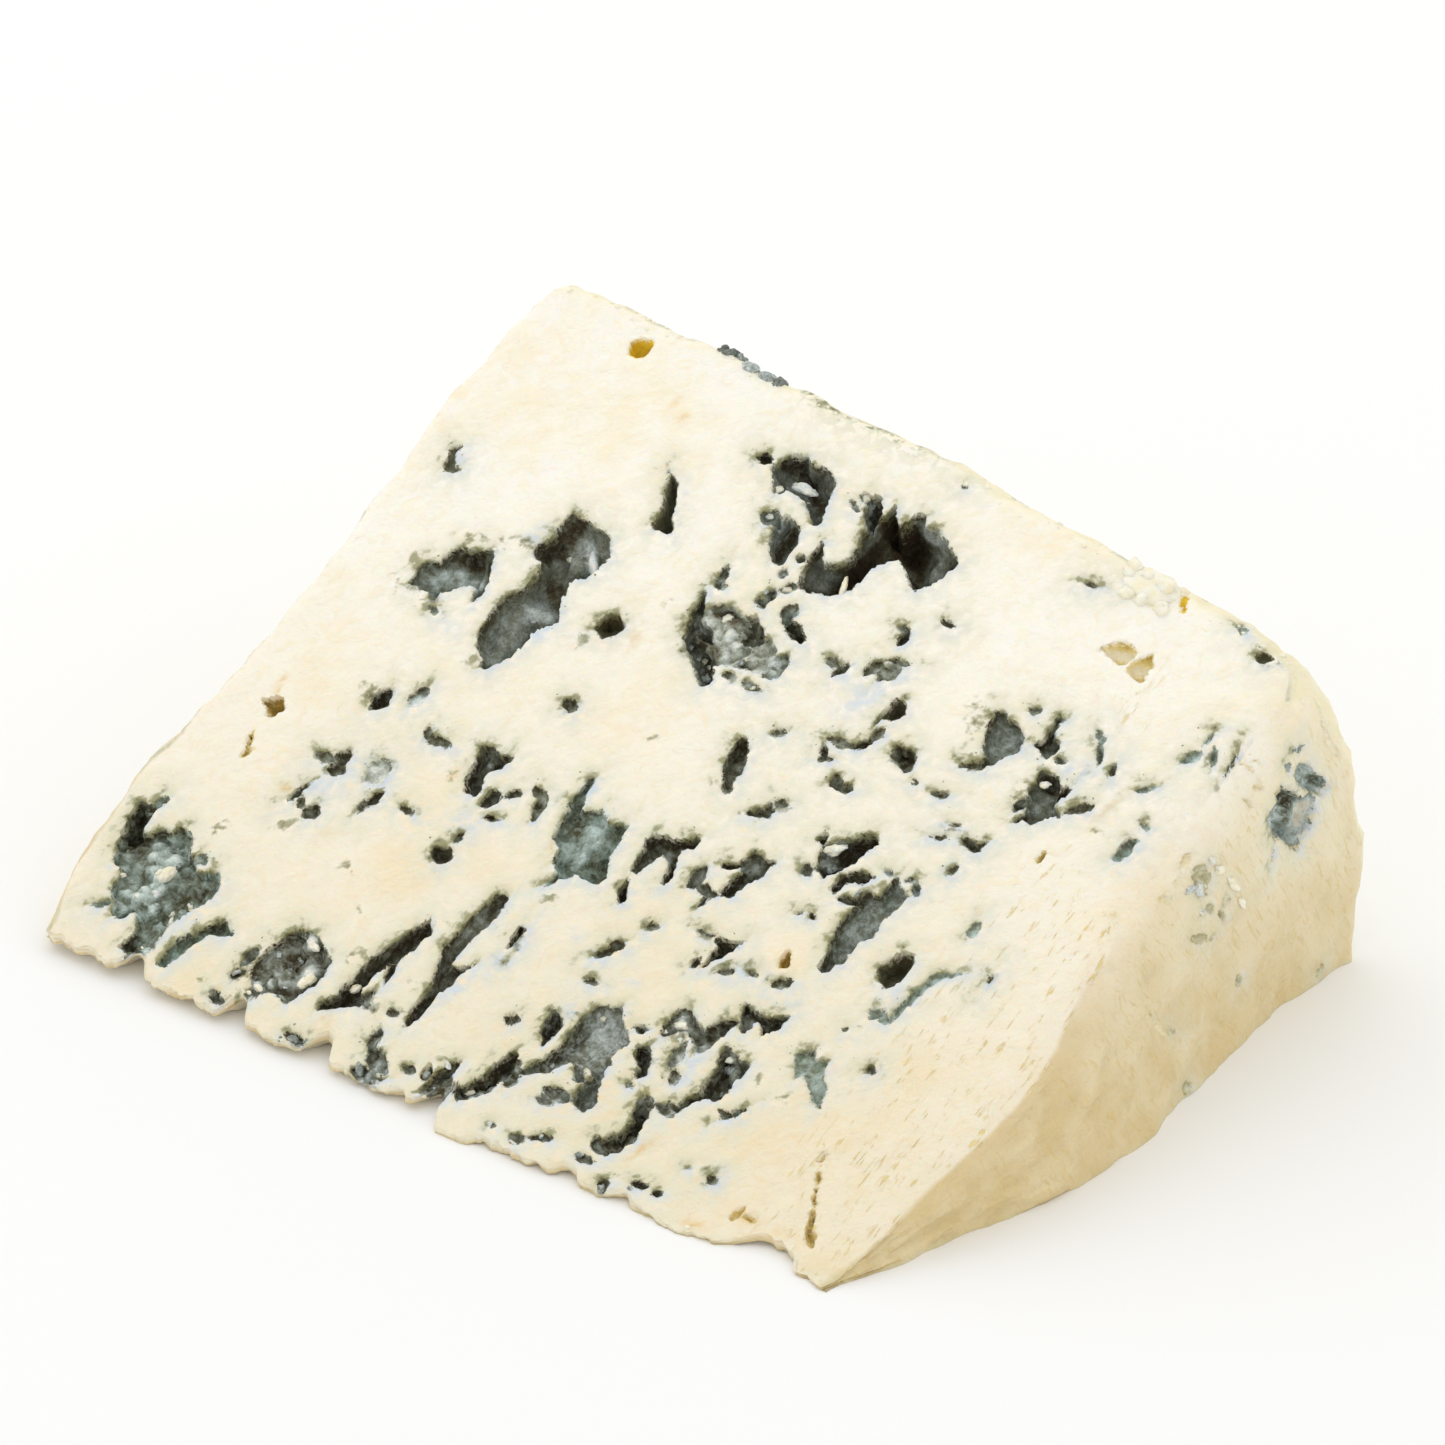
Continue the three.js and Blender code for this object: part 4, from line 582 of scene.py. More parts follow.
stains = {  # specks and tints that lie in the cut face: X, Y, half length, half width, turn, strength
    "olive": [(-36, 56.9, 1.4, 0.5, 0, 0.9), (-32.3, 43.5, 1, 0.8, 0, 0.9), (-42, 47, 1.2, 0.9, 0, 0.9),
     (-40.5, 46.2, 1, 0.6, 0, 0.8), (-47, 47.3, 1.2, 0.5, -30, 0.9), (-46.4, 50.6, 1.6, 0.6, 0, 0.9),
     (-44.2, 47.4, 1.2, 0.5, 0, 0.8), (-41.6, 55.2, 2.6, 0.5, 5, 0.7), (-38.6, 55.8, 0.8, 0.8, 0, 0.7),
     (-38.7, 19.2, 1.2, 0.7, 30, 0.8), (-45.6, 15.9, 1, 0.6, 0, 1), (-28.2, 17.9, 0.9, 0.5, 0, 0.8),
     (-23.5, 13.8, 0.9, 0.6, 0, 0.6), (-40.9, 35.9, 1, 0.7, 0, 0.9), (-15, 6.3, 1.2, 0.6, 0, 0.8),
     (-13.4, 5.4, 0.9, 0.6, 0, 0.8), (-19.5, 9.9, 1.2, 0.8, 40, 0.8), (-3.2, 53.2, 1.3, 0.5, 0, 0.8),
     (-0.2, 53.3, 1.3, 0.6, 0, 0.8), (-6.6, 43.9, 0.6, 0.5, 0, 0.8), (15, 27.2, 1.6, 0.5, 0, 0.9),
     (16.4, 24.4, 0.8, 0.7, 0, 0.9), (20, 52.6, 1, 0.9, 0, 0.9), (28.9, 55.6, 1.6, 0.5, 10, 0.8),
     (36.2, 14.6, 0.7, 0.6, 0, 1), (32.3, 15.7, 0.7, 0.6, 0, 0.9), (9, 25.6, 0.9, 0.6, 40, 0.6),
     (-4, 23.7, 0.8, 0.8, 0, 0.8), (33.3, 73.1, 0.9, 0.5, 0, 0.6), (25.8, 60, 1, 2.6, 10, 0.75),
     (36.3, 55.5, 0.9, 1.8, 0, 0.8), (30.9, 63.9, 1, 0.5, 20, 0.9), (-29.6, 0.4, 1.6, 1, 0, 0.7),
     (-31.4, 5.4, 1, 1.6, 0, 0.9), (-31.2, 3, 1.2, 1, 0, 0.8), (5.4, 13, 1, 1, 0, 0.8),
     (-56.2, 15.2, 0.8, 0.5, 0, 0.8), (-57.2, 9.4, 0.5, 0.9, 20, 0.6), (-50.2, 3.7, 0.9, 0.8, 0, 0.8),
     (46.4, 54.6, 0.9, 0.5, 0, 0.5), (42.8, 56.2, 1, 0.6, 0, 0.7), (31.9, 48.2, 1.2, 0.8, 0, 0.5),
     (12.8, 43.1, 0.9, 0.6, 0, 0.9), (-51.9, 12.9, 1.2, 0.9, 30, 0.8), (-43.2, 12.4, 0.5, 0.4, 0, 1),
     (-45.2, 12.3, 0.9, 0.4, 0, 1), (-11, 6.1, 1, 0.7, 0, 0.8), (-11.4, 9.8, 0.8, 1.2, 0, 0.5),
     (24.2, 61.4, 0.8, 1, 0, 0.5), (-13.4, 16.8, 0.9, 0.4, 20, 0.6), (0.2, 80.1, 0.9, 0.5, 0, 0.6),
     (-24.6, 31.6, 0.6, 0.9, 0, 0.8), (-22.4, 49.9, 1.4, 0.7, 30, 0.7), (-15.4, 57.6, 0.9, 0.5, 20, 0.5),
     (4, 42.3, 1, 0.4, 0, 0.7), (2.4, 45, 0.4, 1.4, 0, 0.7), (38.4, 25.1, 0.6, 0.3, 0, 0.6),
     (-1.9, 3.6, 1.2, 0.8, 0, 0.6), (19.6, 11.8, 0.6, 1.2, 0, 0.7), (22.9, 12.6, 0.9, 1, 0, 0.7),
     (20.4, 16, 1.4, 0.6, 0, 0.7), (7.4, 59.6, 1.4, 0.7, 0, 0.7), (10.9, 65.8, 1, 0.5, 0, 0.8),
     (-16.4, 85, 3.6, 0.9, 0, 0.7), (-9, 85, 2, 0.7, 0, 0.8), (-4.4, 84.9, 3, 0.6, 0, 0.7),
     (49.9, 79.7, 1.4, 0.9, 0, 0.9), (55.2, 65.6, 0.9, 0.6, 0, 0.4), (49.4, 66.3, 1, 0.6, 0, 0.6),
     (-34.6, 0.9, 0.5, 0.5, -30, 0.8), (-38.4, 7.2, 1.2, 0.5, 0, 0.5), (26.8, 79.2, 1.2, 0.6, 0, 0.6)],
    "blue": [(-35.4, 58.2, 1.2, 1.2, 40, 0.9), (-37, 45.2, 1.2, 0.8, 0, 0.7), (-50.6, 62.4, 0.8, 1, 0, 1),
     (-22.3, 50, 1.1, 0.8, 0, 0.4), (23, 25.3, 2.6, 1, 0, 0.7), (20.4, 24.5, 1.2, 0.8, 0, 0.7),
     (45.6, 81.6, 1.2, 0.8, 0, 0.6), (35.2, 44.2, 1.1, 1, 40, 0.7), (35.8, 4.6, 1, 0.9, 0, 0.6),
     (2, 21.2, 1.4, 0.6, 0, 0.5), (11.5, 19.4, 1, 0.5, 0, 0.5), (-4, 16, 0.9, 2, 0, 0.8),
     (-33.5, 28, 2.2, 1.6, -20, 0.9), (-37.5, 24.6, 2.6, 1.6, 0, 0.5), (-6.4, 11.4, 0.8, 1.8, -20, 1),
     (12.4, 57, 2.4, 1.4, 60, 0.7), (37.8, 59.6, 2.6, 1, 0, 0.6), (41.2, 60, 1.2, 1.6, 40, 0.7),
     (-26.8, 49, 0.8, 1.2, -40, 1), (-19, 27.4, 1.6, 1.6, 0, 0.7), (7.6, 14, 1.2, 0.8, 0, 0.8),
     (-8.4, 36.2, 0.6, 1, 20, 0.8), (7.8, 17.4, 1.2, 0.4, 0, 0.8), (6.6, 20.2, 1, 0.8, 60, 0.5),
     (-41.2, 6, 0.9, 2, -30, 0.6), (28, 24.4, 3, 0.8, 0, 0.5), (32.4, 47.6, 2.4, 0.9, 0, 0.6),
     (39.4, 29.6, 1.2, 1.6, 0, 0.5), (24.6, 14.4, 1, 2.4, 0, 0.6), (-12, 60.4, 0.9, 1.2, 0, 0.8),
     (22.6, 14.2, 1.4, 1.6, 0, 0.4), (51.8, 54, 1.2, 1.6, 0, 0.6),
     (14.2, 60.6, 1.2, 1, 0, 0.7), (8, 58.6, 0.9, 0.8, 0, 0.7), (46, 35.6, 1.4, 0.8, 0, 0.3)],
    "yellow": [(-50.9, 32, 1.2, 0.35, -62, 1), (-41.8, 22.7, 0.6, 0.4, 0, 0.9),
     (26, 3.6, 0.3, 1.4, -20, 0.7), (-50.2, 4.2, 0.6, 0.9, 0, 0.9), (-31, 3, 0.8, 0.6, 0, 0.7),
     (-16.6, 52.9, 0.7, 1.4, 20, 0.35), (-7.8, 28.2, 0.3, 1.6, 20, 0.5), (-33.6, 20, 1, 0.3, 0, 0.3),
     (-29.4, 76.6, 0.6, 0.5, 0, 0.5), (-31.9, 77.6, 0.25, 0.7, 0, 0.5), (46.2, 57.6, 0.4, 2.6, -20, 0.35),
     (-24.3, 31.4, 0.3, 0.7, 20, 0.7), (45.6, 54.6, 0.6, 0.5, 0, 0.3), (44.8, 2, 3, 0.4, 0, 0.5),
     (42.2, 2.2, 1, 0.6, 0, 0.9), (-17.6, 2, 0.8, 0.8, 0, 0.6), (37.6, -1.2, 1.2, 0.5, 0, 0.6),
     (21.8, 9.6, 0.8, 0.4, 0, 0.5)],
}
border = {
    "reach": 4.0,  # mm round an opening that its stains and specks can reach
    "within": 1.5,  # mm inside its border past which an opening outweighs its neighbours no further
    "pointed": 1.6,  # under 2 the openings have pointed ends, as tears have
    "melt": 0.16,  # mm over which neighbouring openings run into one another
    "torn": ((0.22, 1.5), (0.22, 0.7), (0.15, 0.34)),  # how far the borders wander, and how wide
    "wall": (0.3, 0.07),  # mm from the border to the full depth, and more of it for each mm of depth
    "partFade": 0.7,  # how sharply a part ends at its border
    "ownDepth": 0.25,  # weight of an opening's own depth beside the depths of its parts
    "ownTone": 0.14,  # the same for its tone
    "stainTorn": (0.4, 0.9),  # how far the borders of the stains wander, and how wide
}
lowerRight = Vector((0.877, -0.48)).normalized()  # the openings run down to this side of the cut face
topSlant = (0.53, -0.36)  # the parts of an opening lie along this slant: mm aside for each mm of depth
endSlant = (-1.19, 0.84)


def turned(u, v, row):  # a place in the row's own axes, 1 at its border
    cu, cv, halfLong, halfWide, turn = row[:5]
    c, s = math.cos(math.radians(turn)), math.sin(math.radians(turn))
    return ((u - cu) * c + (v - cv) * s) / halfLong, ((v - cv) * c - (u - cu) * s) / halfWide


def rowDistance(u, v, row):  # signed distance, the way out, and how far along to the lower right
    halfLong, halfWide, turn = row[2:5]
    pointed = border["pointed"]
    c, s = math.cos(math.radians(turn)), math.sin(math.radians(turn))
    a, b = turned(u, v, row)
    k = np.maximum((np.abs(a) ** pointed + np.abs(b) ** pointed) ** (1 / pointed), 1e-4)
    ga = np.sign(a) * np.abs(a / k) ** (pointed - 1) / halfLong
    gb = np.sign(b) * np.abs(b / k) ** (pointed - 1) / halfWide
    slope = np.maximum(np.hypot(ga, gb), 1e-4)
    distance = np.maximum((k - 1) / slope, -min(halfLong, halfWide))
    aside = math.hypot(halfLong * (c * lowerRight.x + s * lowerRight.y),
                       halfWide * (c * lowerRight.y - s * lowerRight.x))
    lower = ((u - row[0]) * lowerRight.x + (v - row[1]) * lowerRight.y) / aside
    return distance, (ga * c - gb * s) / slope, (ga * s + gb * c) / slope, np.clip((lower + 1) / 2, 0, 1)


def outlineDistance(u, v, points):
    corners = np.array(points, float)
    best = np.full(u.shape, 1e9)
    offU, offV = np.zeros(u.shape), np.zeros(u.shape)
    inside = np.zeros(u.shape, bool)
    for (au, av), (bu, bv) in zip(corners, np.roll(corners, -1, 0)):
        du, dv = bu - au, bv - av
        t = np.clip(((u - au) * du + (v - av) * dv) / (du * du + dv * dv), 0, 1)
        eu, ev = u - au - t * du, v - av - t * dv
        square = eu * eu + ev * ev
        closer = square < best
        best = np.where(closer, square, best)
        offU, offV = np.where(closer, eu, offU), np.where(closer, ev, offV)
        if av != bv:
            inside ^= ((av > v) != (bv > v)) & (u < au + (v - av) * du / dv)
    distance = np.maximum(np.sqrt(best), 1e-4)
    sign = np.where(inside, -1.0, 1.0)
    aside = corners @ np.array(lowerRight)
    lower = (u * lowerRight.x + v * lowerRight.y - aside.min()) / (aside.max() - aside.min())
    return distance * sign, sign * offU / distance, sign * offV / distance, np.clip(lower, 0, 1)


def isOutline(shape):
    return isinstance(shape[0], tuple)


def boxRound(shape):  # the low and the high corner of the box round a row or an outline
    if isOutline(shape):
        return np.min(shape, 0), np.max(shape, 0)
    half = max(shape[2:4])
    return np.array(shape[:2]) - half, np.array(shape[:2]) + half


def shapeDistance(u, v, shape):
    return outlineDistance(u, v, shape) if isOutline(shape) else rowDistance(u, v, shape)


def partWeight(u, v, place):  # how much a part counts, from 1 at its middle
    a, b = turned(u, v, place)
    return np.exp(-border["partFade"] * (a * a + b * b) ** 2)


def openingField(u, v, groups, slant):  # signed distance in mm (under 0 inside), depth, looks, the way out
    reach, melt = border["reach"], border["melt"]
    pu = u + sum(far * ripple(u, v, 3.1 + i, wide) for i, (far, wide) in enumerate(border["torn"]))
    pv = v + sum(far * ripple(u, v, 17.3 + i, wide) for i, (far, wide) in enumerate(border["torn"]))
    total = np.full(u.shape, math.exp(-reach / melt))
    weights = np.full(u.shape, 1e-30)
    sums = {name: np.zeros(u.shape) for name in ("depth", "wall", "wayU", "wayV", "tone")}
    mixed = np.zeros((len(u), len(lookNames)))
    partDepth, partWeights = np.zeros(u.shape), np.full(u.shape, border["ownDepth"])
    for group in groups.values():
        rows = [(row[5], 0.5, row) for row in group.get("rows", [])]
        for deep, tilt, shape in rows + group.get("outlines", []):
            low, high = boxRound(shape)
            close = np.nonzero((pu > low[0] - reach) & (pu < high[0] + reach)
                               & (pv > low[1] - reach) & (pv < high[1] + reach))[0]
            if not len(close):
                continue
            d, wayU, wayV, lower = shapeDistance(pu[close], pv[close], shape)
            weight = np.exp(-np.clip(d, -border["within"], reach) / melt)
            total[close] += weight
            weights[close] += weight
            sums["depth"][close] += weight * deep * mix(tilt, 1.0, lower)
            sums["wall"][close] += weight * (border["wall"][0] + border["wall"][1] * deep)
            sums["wayU"][close] += weight * wayU
            sums["wayV"][close] += weight * wayV
            sums["tone"][close] += weight * group["tone"]
            mixed[close] += weight[:, None] * np.array(group["look"])
        for part in group.get("parts", []):
            top = (part[0] - slant[0] * part[5], part[1] - slant[1] * part[5])
            weight = partWeight(u, v, (*top, *part[2:5]))
            partDepth += weight * part[5]
            partWeights += weight
    distance = -melt * np.log(total)
    for name in sums:
        sums[name] /= weights
    t = np.clip(-distance / np.maximum(sums["wall"], 0.2), 0, 1)
    depth = (border["ownDepth"] * sums["depth"] + partDepth) / partWeights * (1 - (1 - t) ** 2)
    return distance, depth, mixed / weights[:, None], sums


def toneField(u, v, groups, base):  # the parts' tones where they lie, over the opening's own tone
    tone, weights = border["ownTone"] * base, np.full(u.shape, border["ownTone"])
    for group in groups.values():
        for part in group.get("parts", []):
            weight = partWeight(u, v, part)
            tone = tone + weight * part[6]
            weights += weight
    return tone / weights


def stainField(x, y, kind):
    far, wide = border["stainTorn"]
    px = x + far * ripple(x, y, 31.0, wide, 2)
    py = y + far * ripple(x, y, 41.0, wide, 2)
    strength = np.zeros(x.shape)
    for row in stains[kind]:
        a, b = turned(px, py, row)
        strength = np.maximum(strength, row[5] * np.exp(-border["partFade"] * (a * a + b * b)))
    return strength


# The cheese itself: one closed surface, finer round and in the openings.
paste = {
    "cells": (78, 68, 12),  # along the axis, outwards, upwards
    "splits": ((0.7, 2.0, 9.0), (0.36, 0.45, 9.0)),  # mm between points, reach outside, inside
    "splitFrom": 1.3,  # times that spacing, past which an edge is split
    "edgeReach": (5.0, 1.2),  # mm from the sharp edge that each split takes in
    "deepest": 0.62,  # of the thickness there
    "lean": (-0.3, 0.17),  # the openings run in under their upper left side
    "longEdge": 0.7,  # mm, past which an edge down a wall is split
    "uneven": (0.2, 1.6),  # share of the depth, mm wide
    "lumpHigh": (0.08, 1.0),  # of the lining, where it is smooth and where it is lumpy
    "lumpSizes": (1.9, 0.9),  # mm wide, large and small ones
    "lumpShares": (0.75, 0.25),
    "lumpWander": (0.45, 1.5),  # how far they stray from an even pattern, how wide
    "lumpLightShade": (0.12, 0.75),  # painted light on the lumps and painted shade in their creases, where it is smooth and where it is lumpy
    "wallGrain": (0.06, 0.42),  # how high, how wide
    "faceRough": ((0.16, 2.6), (0.06, 0.9)),
    "endRough": ((0.4, 6.5), (0.14, 2.0)),
    "rimShade": (0.3, -0.05, 0.22),  # darker tone inside the upper left border: how much, place, width
    "rimBloomAndLight": (0.4, -0.25, 0.3),  # paler tone inside the lower right border: a powdery bloom, with painted light on the walls there, which face the light
    "lit": 0.02,  # the tone is paler by this for each mm of depth, but not in the black pockets
    "stripFade": 0.8,  # mm down the broken edge where an opening that reaches it ends
    "flatFrom": 0.8,  # mm up from the floor where the relief starts, because the pressed lower face is flat
    "sharpAngle": 70,
}
marks = {  # colour that lies on the faces, in the wheel's millimetres
    "powders": {  # round the openings: level, more to the lower right, mm it fades over, least in its gaps
        "dust": (0.35, 0.9, 0.8, 1.0), "haze": (0.25, -1.0, 0.75, 0.35), "specks": (0.5, -0.6, 1.0, 0.2)},
    "powderGaps": (-0.35, 0.3, 2.4),  # noise from a gap to a patch, how wide they are
    "wander": (5.0, 7.0),  # how far the borders of the marks wander, how wide
    "rindEdge": (0.97, 0.6),  # the other faces turn to rind from this share outwards, and as far as this
    "greenStart": (-24, -18),  # X from which the rim's upper edge is green
    "greenEnd": (4, -3),  # and to which
    "greenHigh": (0.7, 1.0),  # shares of the height over which the green grows
    "greenFace": (0.94, 0.985),  # and of the way outwards
    "greenLine": (0.988, 0.998),  # where it is darkest
    "patches": (0.05, 0.45, 10.0),  # blue patches of rind and far end: noise from none to full, how wide
    "patchLine": 0.55,  # how dark they are
    "warm": (75, -10, -0.2),  # Y over which the paste turns warmer, and how that slants with X
    "slits": ((37, 46), (56, 44), 6.0, 8.0),  # X, Y, how far their border wanders, how wide
    "slitPatch": ((40, 3), (69, 5)),  # a small group of slits: place and width in X and in Y
    "endTop": (1.0, 0.72),  # shares of the height over which an end takes its painted shade
    "low": ((30, 2), 0.12, 40, 0.3, 7.0),  # Z over which an end's painted shade turns darker and tanner towards the bottom, slant, its Y, noise, how wide
}
top, near, far, rim, strip, under = 1, 2, 4, 8, 16, 32  # which faces of the wedge a point lies on
makingNames = ("onEnd", "deep", "faceU", "faceV", "lumpy", "lowerRight")  # only the making needs these
fieldNames = lookNames + makingNames + ("hole", "tone", "upperLeft", "dust", "haze", "specks", "blueStain",
                                        "yellowStain")
cutFaces = (  # the openings of a cut face, their slant, and which two of X, Y and Z lie in it
    (top, openings, topSlant, (0, 1)),
    (near, endOpenings, endSlant, (1, 2)),
)


def sidesOf(p):
    sides = np.where(p[:, 2] > 0.9999, top, 0) | np.where(p[:, 0] > 0.9999, near, 0)
    sides = sides | np.where(p[:, 0] < -0.9999, far, 0) | np.where(p[:, 1] > 0.9999, rim, 0)
    return sides | np.where(p[:, 1] < 0.0001, strip, 0) | np.where(p[:, 2] < 0.0001, under, 0)


def coordsOf(bm):
    return np.array([v.co for v in bm.verts], float)


def setCoords(bm, coords):
    for v, co in zip(bm.verts, coords.tolist()):
        v.co = co


def layerOf(bm, name):
    layer = bm.verts.layers.float[name]
    return np.array([v[layer] for v in bm.verts])


def setLayer(bm, name, values):
    layer = bm.verts.layers.float.get(name) or bm.verts.layers.float.new(name)
    for v, value in zip(bm.verts, values.tolist()):
        v[layer] = value


def refine(bm):
    for level, (spacing, outside, inside) in enumerate(paste["splits"]):
        p = coordsOf(bm)
        points = wedgePoints(*p.T)
        sides = sidesOf(p)
        distance = np.full(len(p), 99.0)
        for side, groups, slant, (a, b) in cutFaces:
            ids = np.nonzero(sides & side)[0]
            found = openingField(points[ids, a], points[ids, b], groups, slant)[0]
            distance[ids] = np.minimum(distance[ids], found)
        bm.verts.index_update()
        chosen = set()
        for face in bm.faces:
            ids = [v.index for v in face.verts]
            common = sides[ids[0]]
            for i in ids[1:]:
                common = common & sides[i]
            if common & under or not common:
                continue
            gaps = [distance[i] for i in ids]
            atBorder = min(gaps) < outside and max(gaps) > -inside
            atEdge = common & (top | strip) and points[ids[0], 1] < edge["out"] + paste["edgeReach"][level]
            if atBorder or atEdge or (level == 0 and common & (top | near)):
                chosen.update(e for e in face.edges if np.linalg.norm(
                    points[e.verts[0].index] - points[e.verts[1].index]) > spacing * paste["splitFrom"])
        bmesh.ops.subdivide_edges(bm, edges=list(chosen), cuts=1, use_grid_fill=True)
        print("points after split", level + 1, ":", len(bm.verts))


def faceMarks(p, points, sides):  # the colours of the whole faces: rind, green rim, slits, and the painted shade of the ends
    x, y, z = points.T
    out, up = p[:, 1], p[:, 2]
    onEnds = sides & (near | far)
    strays, wide = marks["wander"]
    wander = strays * ripple(x, y, z, wide, 3)
    green = smooth(*marks["greenStart"], x + wander) * smooth(*marks["greenEnd"], x + wander)
    high = smooth(*marks["greenHigh"], up + 0.02 * wander)
    none, full, wide = marks["patches"]
    patches = np.where(sides & (rim | far), smooth(none, full, ripple(*(points.T + 31), wide, 3)), 0.0)
    lineDark = green * smooth(0.9, 1.0, high) * smooth(*marks["greenLine"], out)
    warmFrom, warmTo, warmSlant = marks["warm"]
    slitX, slitY, strays, wide = marks["slits"]
    slits = smooth(*slitX, x) * smooth(*slitY, y + strays * ripple(x, y, z, wide))
    patchX, patchY = marks["slitPatch"]
    lowZ, lowSlant, lowY, uneven, wide = marks["low"]
    low = smooth(*lowZ, z + lowSlant * (y - lowY)) + uneven * ripple(x, y, z, wide, 3)
    rindFrom, rindMost = marks["rindEdge"]
    topFace = np.where(sides & top, 1.0, 0.0)
    return {
        "onEnd": np.where(onEnds, 1.0, 0.0),
        "topFace": topFace,
        "rind": np.where(sides & rim, 1.0, smooth(rindFrom, 1.0, out) * rindMost),
        "rimGreen": np.maximum(green * high * smooth(*marks["greenFace"], out), patches),
        "rimLine": np.maximum(lineDark, marks["patchLine"] * patches),
        "warm": smooth(warmFrom, warmTo, y + warmSlant * x),
        "slits": topFace * np.maximum(slits, bell(x, *patchX) * bell(y, *patchY)),
        "endFace": np.where(onEnds, smooth(*marks["endTop"], up), 0.0),
        "low": np.where(onEnds, np.clip(low, 0, 1), 0.0),
        # painted shade down the broken edge, darkest at its foot over the floor
        "underEdge": np.where(sides & strip, 1 - up, 0.0),
    }


def cutOpenings(bm):
    p = coordsOf(bm)
    points = wedgePoints(*p.T)
    sides = sidesOf(p)
    moved = points.copy()
    full = {name: np.zeros(len(p)) for name in fieldNames}
    full["hole"] += border["reach"]
    onTop = np.nonzero(sides & (top | strip))[0]
    onEnd = np.nonzero((sides & near) & ~(sides & top))[0]
    for ids, (side, groups, slant, (a, b)) in zip((onTop, onEnd), cutFaces):
        u, v = points[ids, a], points[ids, b]
        distance, depth, looks, sums = openingField(u, v, groups, slant)
        depth = depth * (1 + paste["uneven"][0] * ripple(u, v, 2.2, paste["uneven"][1], 2))
        if side == top:
            thick = np.maximum(upperFace(u, v) - lowerFace(u, v), edge["least"])
            depth = np.minimum(depth, paste["deepest"] * thick)
            slope = cutSlope(u)
            length = np.sqrt(1 + slope ** 2)
            down = np.stack([paste["lean"][0] + 0 * u, slope / length + paste["lean"][1], -1 / length], -1)
            moved[ids] += down * (depth * p[ids, 2])[:, None]
            distance = distance + (1 - p[ids, 2]) * paste["stripFade"]
        else:
            moved[ids, 0] -= depth
        facing = sums["wayU"] * lowerRight.x + sums["wayV"] * lowerRight.y
        full["hole"][ids] = distance
        full["deep"][ids] = depth
        full["tone"][ids] = sums["tone"]
        full["faceU"][ids], full["faceV"][ids] = u, v
        full["upperLeft"][ids] = np.clip(-facing, 0, 1)
        full["lowerRight"][ids] = np.clip(facing, 0, 1)
        patch = smooth(*marks["powderGaps"][:2], ripple(u, v, 51.0, marks["powderGaps"][2], 2))
        for name, (level, towards, wide, gaps) in marks["powders"].items():
            powder = np.clip(level + towards * facing, 0, 1) * np.exp(-np.maximum(distance, 0) / wide)
            full[name][ids] = powder * looks[:, 0] * mix(gaps, 1, patch)
        for i, name in enumerate(lookNames):
            full[name][ids] = looks[:, i]
    x, y = points[onTop, 0], points[onTop, 1]
    full["specks"][onTop] = np.maximum(full["specks"][onTop], stainField(x, y, "olive"))
    full["blueStain"][onTop] = stainField(x, y, "blue")
    full["yellowStain"][onTop] = stainField(x, y, "yellow")
    full.update(faceMarks(p, points, sides))
    setCoords(bm, moved)
    for name, values in full.items():
        setLayer(bm, name, values)


def splitWalls(bm):  # so that the long edges down the walls of the openings can take relief
    hole = bm.verts.layers.float["hole"]
    for _ in range(3):
        longOnes = [e for e in bm.edges
                    if e.calc_length() > paste["longEdge"] and min(v[hole] for v in e.verts) < -0.02
                    and max(v[hole] for v in e.verts) < 0.4]
        bmesh.ops.subdivide_edges(bm, edges=longOnes, cuts=1)
        bmesh.ops.triangulate(bm, faces=[f for f in bm.faces if len(f.verts) > 4])
    print("points after the walls are split:", len(bm.verts))


def lumpsAt(x, y, z, size):  # rounded lumps of that size, 0 in the creases between them and 1 on top
    spots = zip((x / size).tolist(), (y / size).tolist(), (z / size).tolist())
    gaps = np.array([noise.voronoi(spot)[0][:2] for spot in spots])
    return 1 - (gaps[:, 0] / np.maximum(gaps[:, 1], 1e-4)) ** 2


